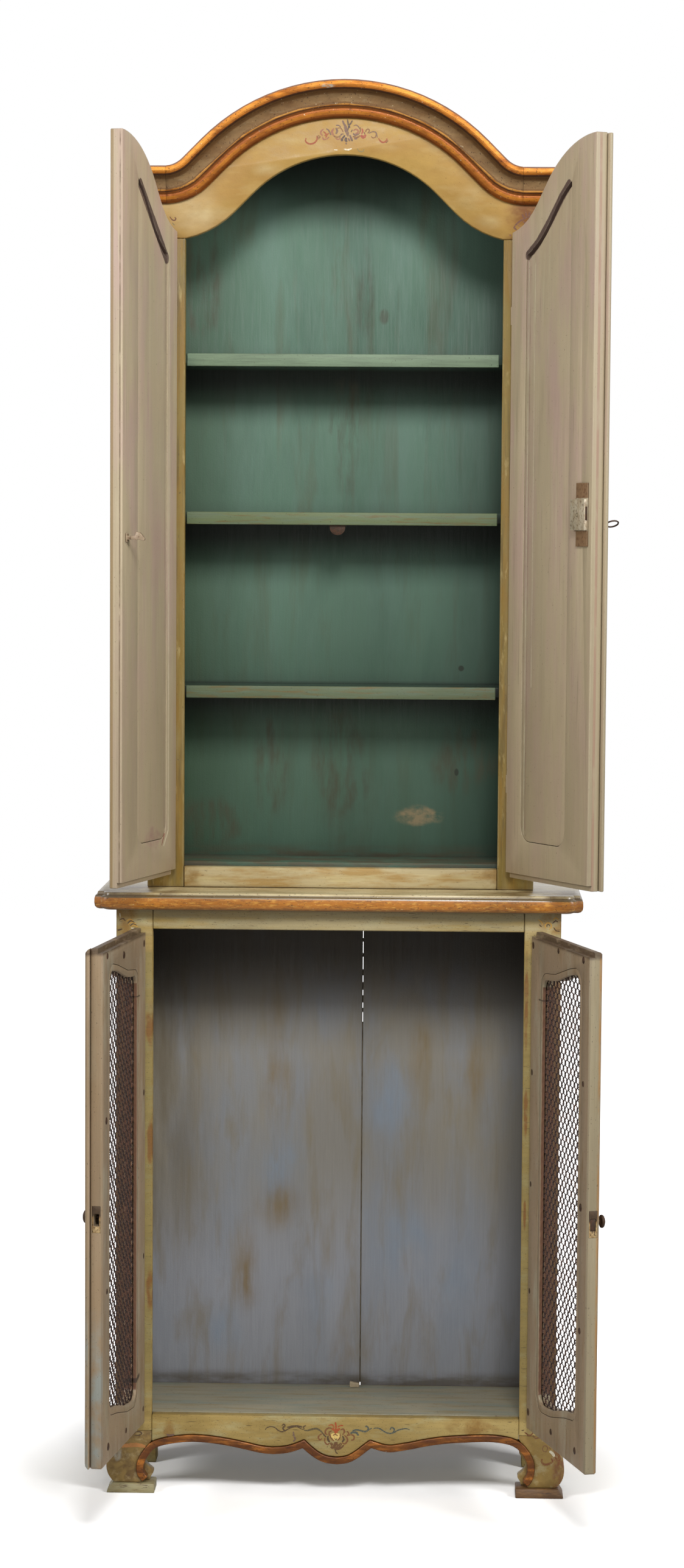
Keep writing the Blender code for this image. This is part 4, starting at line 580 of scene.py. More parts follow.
# Cream paint under a thick glossy brown varnish on the top board, a gilt band along the rim.
topPaint = dict(label="varnishedTop", base="#c6b68c", roughness=0.3, brush=(90, 5, 5), tone=0.1,
    relief=0.15, coat=0.25, rounding=0.8, layers=[
    coat("#9a8350", 0.6, (90, 40, 30), (0.45, 0.62)),
    coat("#a8865a", 0.6, (30, 16, 30), (0.56, 0.66)),
    # painted shade of the open doors: the board's ends darker brown
    coat("#5f4520", 0.85, (50, 50, 30), (0.3, 0.6), ragged=60, depth=20, spots=[(-330, 970, 100, 100),
         (330, 970, 100, 100)]),
    coat("#5a441f", 0.88, bands=[("Z", 962.2, 963.2), ("Z", 968.4, 967.4)]),
    coat("#a8660f", 0.98, roughness=0.42, bands=[("Z", 963.5, 962), ("Z", 944.5, 945.5)]),
    coat("#6a4010", 0.55, (14, 14, 4), (0.5, 0.64), bands=[("Z", 963, 961.5)]),
    coat("#d8a44a", 0.6, (14, 14, 3), (0.52, 0.66), bands=[("Z", 963, 961.5)]),
    coat("#2c1c0c", 0.7, (4, 4, 2.4), (0.63, 0.69), detail=2),
    coat("#cabb92", 0.7, (5, 5, 3), (0.71, 0.74), detail=2),
    coat("#54401f", 0.6, corners=8),
    coat(rawWood, 1, facing=down, roughness=0.8)])

# Wrought iron, blackened and lightly rusted: dark, dull, browner in patches.
darkIron = dict(label="blackenedIron", base="#33210f", roughness=0.5, brush=(5, 5, 5), tone=0.15,
    relief=0.5, metallic=0.25, grit=1.2, rounding=0.4, smoothUnder=45, layers=[
    coat("#4c2f1d", 0.75, (5, 5, 5), (0.45, 0.6), roughness=0.75),
    coat("#6d625a", 0.4, edges=0.8)])

# Brass plate let into the door's end, gone brown, with cream paint wiped over its lower half.
latchBrass = dict(label="brownedBrass", base="#8a6a40", roughness=0.5, brush=(4, 4, 6), tone=0.15,
    relief=0.4, metallic=0.2, grit=1.4, rounding=0.4, smoothUnder=45, layers=[
    coat("#b79d70", 0.85, (6, 6, 6), (0.38, 0.54), bands=[("Z", 503, 499)]),
    coat("#3a2817", 0.8, (4, 4, 4), (0.54, 0.62)),
    coat("#2a1c10", 0.85, bands=[("Z", 503, 506)]),
    coat("#2a1b0f", 0.8, corners=5)])

# Steel lock painted over with the door's paint, rust coming through at its edges.
paintedSteel = dict(label="paintedSteel", base="#b9ad95", roughness=0.45, brush=(20, 20, 20), tone=0.08,
    relief=0.3, metallic=0.1, rounding=0.5, smoothUnder=45, layers=[
    coat("#9c886a", 0.7, (8, 8, 12), (0.44, 0.62)),
    coat("#80603f", 0.95, roughness=0.75, bands=[("Z", 1545.5, 1544.5)]),
    coat("#7c5c3c", 0.95, roughness=0.75, bands=[("Z", 1594.5, 1595.5)]),
    coat("#5d3b22", 0.7, (4, 4, 5), (0.52, 0.64)),
    coat("#4a3a28", 0.85, slashes=[(33, 1569.2, 33, 1569.3, 7)]),
    coat("#b9ab8c", 0.9, slashes=[(33, 1569.2, 33, 1569.3, 4)]),
    coat("#dccfb2", 0.5, edges=1.0),
    coat("#3a2a1b", 0.8, corners=4)])
# The elbow catch's steel, painted over once and scuffed: duller and browner than the lock, its edges rubbed pale.
catchSteel = dict(paintedSteel, label="scuffedSteel", base="#a08a74", layers=[
    layer for layer in paintedSteel["layers"] if "bands" not in layer and "slashes" not in layer])

# Galvanised wire gone brown with rust.
rustyWire = dict(label="rustedWire", base="#33211b", roughness=0.7, brush=(4, 4, 4), tone=0.2, relief=0.3,
    metallic=0.0, layers=[
    coat("#5e3d2e", 0.7, (14, 14, 14), (0.48, 0.62)),
    coat("#221815", 0.6, (6, 6, 6), (0.52, 0.64))])

# Scraped pine with old paint left in its grain.
scrapedPine = dict(label="scrapedPine", base="#a5957a", roughness=0.7, brush=(3, 3, 30), tone=0.14,
    relief=0.4, layers=[
    coat("#6f5c42", 0.7, (6, 6, 20), (0.48, 0.62)),
    coat("#d4c9ae", 0.6, edges=1.0)])

finishes = {}


def finishFor(finish, body):
    key = finish["label"] + "_" + body
    if key not in finishes:
        finishes[key] = layeredFinish(key, body, finish)
    return finishes[key]


# Pieces taken over from the solids, with their sharp edges rounded as handling rounds them

def placePiece(piece, body, nodes=()):
    scene.collection.objects.link(piece)
    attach(piece, body)
    if nodes:
        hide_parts(*nodes)


def madePiece(bm, name, material, body):
    # a piece modelled in shut-case coordinates, put where its body is at rest
    bmesh.ops.recalc_face_normals(bm, faces=bm.faces)
    mesh = bpy.data.meshes.new(name)
    bm.to_mesh(mesh)
    bm.free()
    mesh.transform(caseToWorld[body])
    mesh.materials.append(material)
    placePiece(bpy.data.objects.new(name, mesh), body)


def asMesh(worker, name):
    # the evaluated object as a plain mesh, without its modifiers
    graph = bpy.context.evaluated_depsgraph_get()
    mesh = bpy.data.meshes.new_from_object(worker.evaluated_get(graph))
    bpy.data.objects.remove(worker)
    mesh.name = name
    return bpy.data.objects.new(name, mesh)


# Pieces whose name says more than their solid's
renamed = {
    "apron": "apron_board", "front_foot_left": "scroll_foot_left", "front_foot_right": "scroll_foot_right",
    "upper_back": "upper_back_board", "upper_floor": "upper_floor_board", "upper_shelf_1": "upper_shelf_high",
    "upper_shelf_2": "upper_shelf_middle", "upper_shelf_3": "upper_shelf_low",
    "shelf_facing_1": "shelf_facing_high", "shelf_facing_2": "shelf_facing_middle",
    "shelf_facing_3": "shelf_facing_low", "base_floor": "base_floor_board", "base_top": "base_top_board",
    "lower_left_door_retaining_bead": "lower_left_retaining_bead",
    "lower_right_door_retaining_bead": "lower_right_retaining_bead", "upper_key": "door_key",
    "upper_lock_bolt": "lock_bolt", "lower_left_knob": "left_knob", "lower_right_knob": "right_knob",
    "lower_latch_bolt": "latch_bolt", "lower_left_latch_plate": "left_latch_plate",
    "lower_right_latch_plate": "right_latch_plate", "upper_lock_case": "lock_case",
    "elbow_catch_plate": "catch_plate", "elbow_catch_lever": "catch_lever"}
handling = {"weld": 0.00002, "flatUnder": 0.6, "roundOver": 40, "segments": 2, "smoothUnder": 34}  # m, degrees


def camelName(words):
    first, *rest = words.split("_")
    return first + "".join(word.title() for word in rest)


def wornCopy(node, finish):
    name = camelName(renamed.get(node, node))
    source = frame["nodes"][node]
    body = source["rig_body"]
    bm = bmesh.new()
    bm.from_mesh(source.data)
    bmesh.ops.remove_doubles(bm, verts=bm.verts, dist=handling["weld"])
    bmesh.ops.dissolve_limit(bm, angle_limit=math.radians(handling["flatUnder"]), verts=bm.verts, edges=bm.edges)
    bmesh.ops.recalc_face_normals(bm, faces=bm.faces)
    mesh = bpy.data.meshes.new(name)
    bm.to_mesh(mesh)
    bm.free()
    worker = bpy.data.objects.new(name + "Worker", mesh)
    scene.collection.objects.link(worker)
    if finish["rounding"]:
        bevel = worker.modifiers.new("rounding", "BEVEL")
        bevel.width = finish["rounding"] / 1000
        bevel.segments = finish.get("segments", handling["segments"])
        bevel.limit_method = "ANGLE"
        bevel.angle_limit = math.radians(handling["roundOver"])
        bevel.miter_outer = "MITER_ARC"
    piece = asMesh(worker, name)
    piece.data.shade_smooth()
    piece.data.set_sharp_from_angle(angle=math.radians(finish.get("smoothUnder", handling["smoothUnder"])))
    piece.data.materials.clear()
    piece.data.materials.append(finishFor(finish, body))
    placePiece(piece, body, [node])


for finish, nodes in (
        (stilePaint, "upper_stile_left upper_stile_right"),
        (upperSidePaint, "upper_side_left upper_side_right"),
        (friezePaint, "upper_arched_rail"),
        (upperRailPaint, "upper_bottom_rail"),
        (lowerFramePaint, "base_stile_left base_stile_right base_top_rail apron rear_foot_left rear_foot_right"),
        (lowerSidePaint, "base_side_left base_side_right"),
        (leftFootPaint, "front_foot_left"),
        (rightFootPaint, "front_foot_right"),
        (blockPaint, "foot_block_left foot_block_right"),
        (tealPaint, "upper_back upper_floor upper_shelf_1 upper_shelf_2 upper_shelf_3"),
        (roofPaint, "upper_roof"),
        (shelfPaint, "shelf_facing_1 shelf_facing_2 shelf_facing_3"),
        (bluePaint, "base_back_board_left base_back_board_right"),
        (floorPaint, "base_floor"),
        (topPaint, "base_top"),
        (beadGilding, "apron_bead"),
        (gilding, "cornice_arch cornice_return_left cornice_return_right"),
        (doorPaint, "upper_left_door_frame upper_left_door_panel upper_right_door_frame upper_right_door_panel "
                    "upper_door_astragal"),
        (lowerDoorPaint, "lower_left_door_frame lower_right_door_frame lower_left_door_retaining_bead "
                         "lower_right_door_retaining_bead"),
        (stripPaint, "lower_door_astragal"),
        (darkIron, "upper_key upper_lock_bolt lower_left_knob lower_right_knob lower_latch_bolt catch_strike"),
        (latchBrass, "lower_left_latch_plate lower_right_latch_plate"),
        (paintedSteel, "upper_lock_case"),
        (catchSteel, "elbow_catch_plate elbow_catch_lever")):
    for node in nodes.split():
        wornCopy(node, finish)
print("boards, mouldings and hardware rounded and painted")


# The cornice's bands follow its section, so each point keeps how far up the section it lies, from 0 to 1.
cornice = {"height": 0.057, "crownRadius": 0.26199, "crownCentre": 1.92843, "straight": 0.04169,
           "flareRadius": 0.0983, "turn": math.radians(45)}


def sectionRise(x, z):
    sine, cosine = math.sin(cornice["turn"]), math.cos(cornice["turn"])
    reach = cornice["crownRadius"] + cornice["flareRadius"]
    flareX = reach * sine + cornice["straight"] * cosine
    flareZ = cornice["crownCentre"] + reach * cosine - cornice["straight"] * sine
    x = abs(x)
    above = z - cornice["crownCentre"]
    if x >= flareX:
        return z - (flareZ - cornice["flareRadius"])
    if math.atan2(x, above) <= cornice["turn"]:
        return math.hypot(x, above) - cornice["crownRadius"]
    if math.atan2(flareX - x, flareZ - z) <= cornice["turn"]:
        return cornice["flareRadius"] - math.hypot(flareX - x, flareZ - z)
    return x * sine + above * cosine - cornice["crownRadius"]


for name in ("corniceArch", "corniceReturnLeft", "corniceReturnRight"):
    mesh = bpy.data.objects[name].data
    rise = mesh.attributes.new("profileRise", "FLOAT", "POINT")
    for point in mesh.vertices:
        place = point.co - caseShift
        rise.data[point.index].value = sectionRise(place.x, place.z) / cornice["height"]
print("cornice banded")


# Repeats grown on points by Geometry Nodes, and the solids that they're set out on

def growingTree(name, inputs, output):
    tree = bpy.data.node_groups.new(name, "GeometryNodeTree")
    sockets = {}
    for word, kind in inputs.items():
        sockets[word] = tree.interface.new_socket(
            name=word, in_out="INPUT", socket_type="NodeSocket" + kind).identifier
    tree.interface.new_socket(name=output, in_out="OUTPUT", socket_type="NodeSocketGeometry")
    return tree, sockets, addNode(tree, "NodeGroupInput").outputs


def coated(tree, geometry, material):
    smooth = addNode(tree, "GeometryNodeSetShadeSmooth", {"Geometry": geometry})
    finished = addNode(tree, "GeometryNodeSetMaterial", {"Geometry": smooth, "Material": material})
    addNode(tree, "NodeGroupOutput", {0: finished})


def pointMesh(name, points):
    mesh = bpy.data.meshes.new(name)
    mesh.from_pydata(points, [], [])
    worker = bpy.data.objects.new(name + "Worker", mesh)
    scene.collection.objects.link(worker)
    return worker


def grown(worker, name, tree, sockets, values, body, nodes=()):
    grower = worker.modifiers.new("grower", "NODES")
    grower.node_group = tree
    for word, value in values.items():
        grower[sockets[word]] = value
    piece = asMesh(worker, name)
    piece.data.transform(caseToWorld[body])
    placePiece(piece, body, nodes)
    return piece


def solidTree(body, *nodes):
    # the named solids as a search tree in shut-case coordinates
    toCase = caseToWorld[body].inverted()
    points, faces = [], []
    for node in nodes:
        mesh = frame["nodes"][node].data
        first = len(points)
        points += [toCase @ vertex.co for vertex in mesh.vertices]
        faces += [[first + index for index in face.vertices] for face in mesh.polygons]
    return BVHTree.FromPolygons(points, faces), points


# Wire netting: a unit is one twist of two wires with the two single wires that leave its top
netting = {"Cell width": 0.0186, "Row pitch": 0.009, "Twist length": 0.0062, "Strand radius": 0.00098,
           "Lay radius": 0.00085, "Wander": 0.0009}
wire = {"sides": 3, "twistSteps": 6, "bendSteps": 4, "waveScale": 28, "waveDetail": 2, "wave": (4, 3, 4)}


def nettingTree():
    tree, sockets, given = growingTree(
        "wireNetting", {"Points": "Geometry", **dict.fromkeys(netting, "Float"), "Wire": "Material"}, "Net")
    section = addNode(tree, "GeometryNodeCurvePrimitiveCircle", {
        "Resolution": wire["sides"], "Radius": given["Strand radius"]})
    spiral = addNode(tree, "GeometryNodeCurveSpiral", {
        "Resolution": wire["twistSteps"], "Rotations": 1, "Start Radius": given["Lay radius"],
        "End Radius": given["Lay radius"], "Height": given["Twist length"]})
    half = addNode(tree, "ShaderNodeMath", {0: given["Twist length"], 1: 0.5}, operation="MULTIPLY")
    lower = addNode(tree, "ShaderNodeMath", {0: half, 1: -1}, operation="MULTIPLY")
    foot = addNode(tree, "ShaderNodeCombineXYZ", {2: lower})
    strands = []
    for angle in (0, math.pi):
        strands.append(addNode(tree, "GeometryNodeTransform", {
            "Geometry": spiral, "Translation": foot, "Rotation": (0, 0, angle)}))
    side = addNode(tree, "ShaderNodeMath", {0: given["Cell width"], 1: 0.5}, operation="MULTIPLY")
    crossing = addNode(tree, "ShaderNodeMath", {0: given["Row pitch"], 1: half}, operation="SUBTRACT")
    bend = addNode(tree, "ShaderNodeMath", {0: given["Row pitch"], 1: 0.5}, operation="MULTIPLY")
    for sign in (-1, 1):
        across = addNode(tree, "ShaderNodeMath", {0: side, 1: sign}, operation="MULTIPLY")
        start = addNode(tree, "ShaderNodeCombineXYZ", {2: half})
        startPull = addNode(tree, "ShaderNodeCombineXYZ", {2: bend})
        end = addNode(tree, "ShaderNodeCombineXYZ", {0: across, 2: crossing})
        endPull = addNode(tree, "ShaderNodeCombineXYZ", {0: across, 2: bend})
        strands.append(addNode(tree, "GeometryNodeCurvePrimitiveBezierSegment", {
            "Resolution": wire["bendSteps"], "Start": start, "Start Handle": startPull,
            "End Handle": endPull, "End": end}, mode="POSITION"))
    joined = addNode(tree, "GeometryNodeJoinGeometry")
    for strand in strands[::-1]:
        tree.links.new(strand.outputs[0], joined.inputs[0])
    wires = addNode(tree, "GeometryNodeCurveToMesh", {
        "Curve": joined, "Profile Curve": section, "Fill Caps": True})
    placed = addNode(tree, "GeometryNodeInstanceOnPoints", {"Points": given["Points"], "Instance": wires})
    whole = addNode(tree, "GeometryNodeRealizeInstances", {"Geometry": placed})
    where = addNode(tree, "GeometryNodeInputPosition")
    wave = addNode(tree, "ShaderNodeTexNoise", {
        "Vector": where, "Scale": wire["waveScale"], "Detail": wire["waveDetail"]})
    centred = addNode(tree, "ShaderNodeVectorMath", {0: wave.outputs["Color"], 1: (0.5, 0.5, 0.5)},
                      operation="SUBTRACT")
    drift = addNode(tree, "ShaderNodeVectorMath", {0: centred, "Scale": given["Wander"]}, operation="SCALE")
    stronger = addNode(tree, "ShaderNodeVectorMath", {0: drift, 1: wire["wave"]}, operation="MULTIPLY")
    bent = addNode(tree, "GeometryNodeSetPosition", {"Geometry": whole, "Offset": stronger})
    coated(tree, bent, given["Wire"])
    return tree, sockets


# A unit is kept where some wire of it shows in the door's opening and off the sheet's edge, in metres. It stands
# as deep as the point a third of the way through the sheet's points, counted from the front.
sheet = {"look": 0.0096, "probeFrom": 0.05, "probeReach": 0.12, "probeEdge": 0.002, "side": 0.003, "bottom": 0.004,
         "top": 0.007, "depthShare": 3}
netTree, netSockets = nettingTree()
for word, body in (("left", "lower_left_door"), ("right", "lower_right_door")):
    node = f"lower_{word}_door_net"
    solids, _ = solidTree(body, f"lower_{word}_door_frame")
    _, netPoints = solidTree(body, node)
    depth = sorted(point.y for point in netPoints)[len(netPoints) // sheet["depthShare"]]
    lowX, highX = min(p.x for p in netPoints), max(p.x for p in netPoints)
    lowZ, highZ = min(p.z for p in netPoints), max(p.z for p in netPoints)
    points = []
    for row in range(int((highZ - lowZ) / netting["Row pitch"]) + 1):
        for column in range(int((highX - lowX) / netting["Cell width"]) + 2):
            x = lowX + (column + 0.5 * (row % 2)) * netting["Cell width"]
            z = lowZ + row * netting["Row pitch"]
            if not (lowX + sheet["side"] < x < highX - sheet["side"]
                    and lowZ + sheet["bottom"] < z < highZ - sheet["top"]):
                continue
            for aside, rise in ((0, 0), (-1, 0), (1, 0), (0, -1), (0, 1)):
                probe = Vector((x + aside * sheet["look"], depth - sheet["probeFrom"], z + rise * sheet["look"]))
                inBox = (lowX + sheet["probeEdge"] < probe.x < highX - sheet["probeEdge"]
                         and lowZ + sheet["probeEdge"] < probe.z < highZ - sheet["probeEdge"])
                if inBox and solids.ray_cast(probe, Vector((0, 1, 0)), sheet["probeReach"])[0] is None:
                    points.append((x, depth, z))
                    break
    piece = grown(pointMesh(node, points), f"lower{word.title()}Netting", netTree, netSockets,
                  {**netting, "Wire": finishFor(rustyWire, body)}, body, [node])
    print("netting", word, len(points), "cells,", len(piece.data.polygons), "faces")


# Nails round the netting, their heads hammered flat. Those by the hinges lie flatter, clear of the stile.
nails = {"Radius": 0.0056, "Height": 0.0016, "Seed": 7}
nailHead = {"segments": 12, "rings": 7, "turn": 3, "least": 0.8, "most": 1.12, "flat": 0.15, "hingeSide": 0.29,
            "behind": 0.2}
nailPlaces = {  # x and z in millimetres on each shut door
    "lower_left_door": [(-294, 890), (-294, 652), (-294, 389), (-294, 141), (-146, 888), (-167, 136), (-31, 899),
                        (-25, 648), (-31, 384), (-40, 141)],
    "lower_right_door": [(296, 893), (296, 691), (296, 512), (296, 340), (296, 144), (161, 899), (172, 141),
                         (33, 899), (28, 711), (33, 521), (31, 331), (48, 141)]}


def nailTree():
    tree, sockets, given = growingTree("nailHeads", {
        "Points": "Geometry", "Radius": "Float", "Height": "Float", "Seed": "Int", "Iron": "Material"}, "Nails")
    ball = addNode(tree, "GeometryNodeMeshUVSphere", {
        "Segments": nailHead["segments"], "Rings": nailHead["rings"], "Radius": 1})
    size = addNode(tree, "ShaderNodeCombineXYZ", {0: given["Radius"], 1: given["Height"], 2: given["Radius"]})
    head = addNode(tree, "GeometryNodeTransform", {"Geometry": ball.outputs["Mesh"], "Scale": size})
    turn = addNode(tree, "FunctionNodeRandomValue", {
        "Min": (0, -nailHead["turn"], 0), "Max": (0, nailHead["turn"], 0), "Seed": given["Seed"]},
        data_type="FLOAT_VECTOR")
    grow = addNode(tree, "FunctionNodeRandomValue", {
        2: nailHead["least"], 3: nailHead["most"], "Seed": given["Seed"]}, data_type="FLOAT")
    flatness = addNode(tree, "GeometryNodeInputNamedAttribute", {"Name": "flatness"}, data_type="FLOAT_VECTOR")
    shape = addNode(tree, "ShaderNodeVectorMath", {0: flatness, 1: grow.outputs[1]}, operation="MULTIPLY")
    placed = addNode(tree, "GeometryNodeInstanceOnPoints", {
        "Points": given["Points"], "Instance": head, "Rotation": turn, "Scale": shape})
    whole = addNode(tree, "GeometryNodeRealizeInstances", {"Geometry": placed})
    coated(tree, whole, given["Iron"])
    return tree, sockets


headTree, headSockets = nailTree()
for body, places in nailPlaces.items():
    solids, _ = solidTree(body, body + "_frame")
    hits = [solids.ray_cast(Vector((x / 1000, nailHead["behind"], z / 1000)), Vector((0, -1, 0)))[0]
            for x, z in places]
    points = [hit[:] for hit in hits if hit]
    worker = pointMesh(body + "Nails", points)
    flatness = worker.data.attributes.new("flatness", "FLOAT_VECTOR", "POINT")
    for index, point in enumerate(points):
        flatness.data[index].vector = (1, nailHead["flat"] if abs(point[0]) > nailHead["hingeSide"] else 1, 1)
    grown(worker, "nails" + body.title().replace("_", ""), headTree, headSockets,
          {**nails, "Iron": finishFor(darkIron, body)}, body)
print("nails set")


# Painted ornament: each brush stroke is a thin film that follows the board under it. A stroke is its colour, the
# brush's width and its path, x and z in millimetres on the front of the shut case.

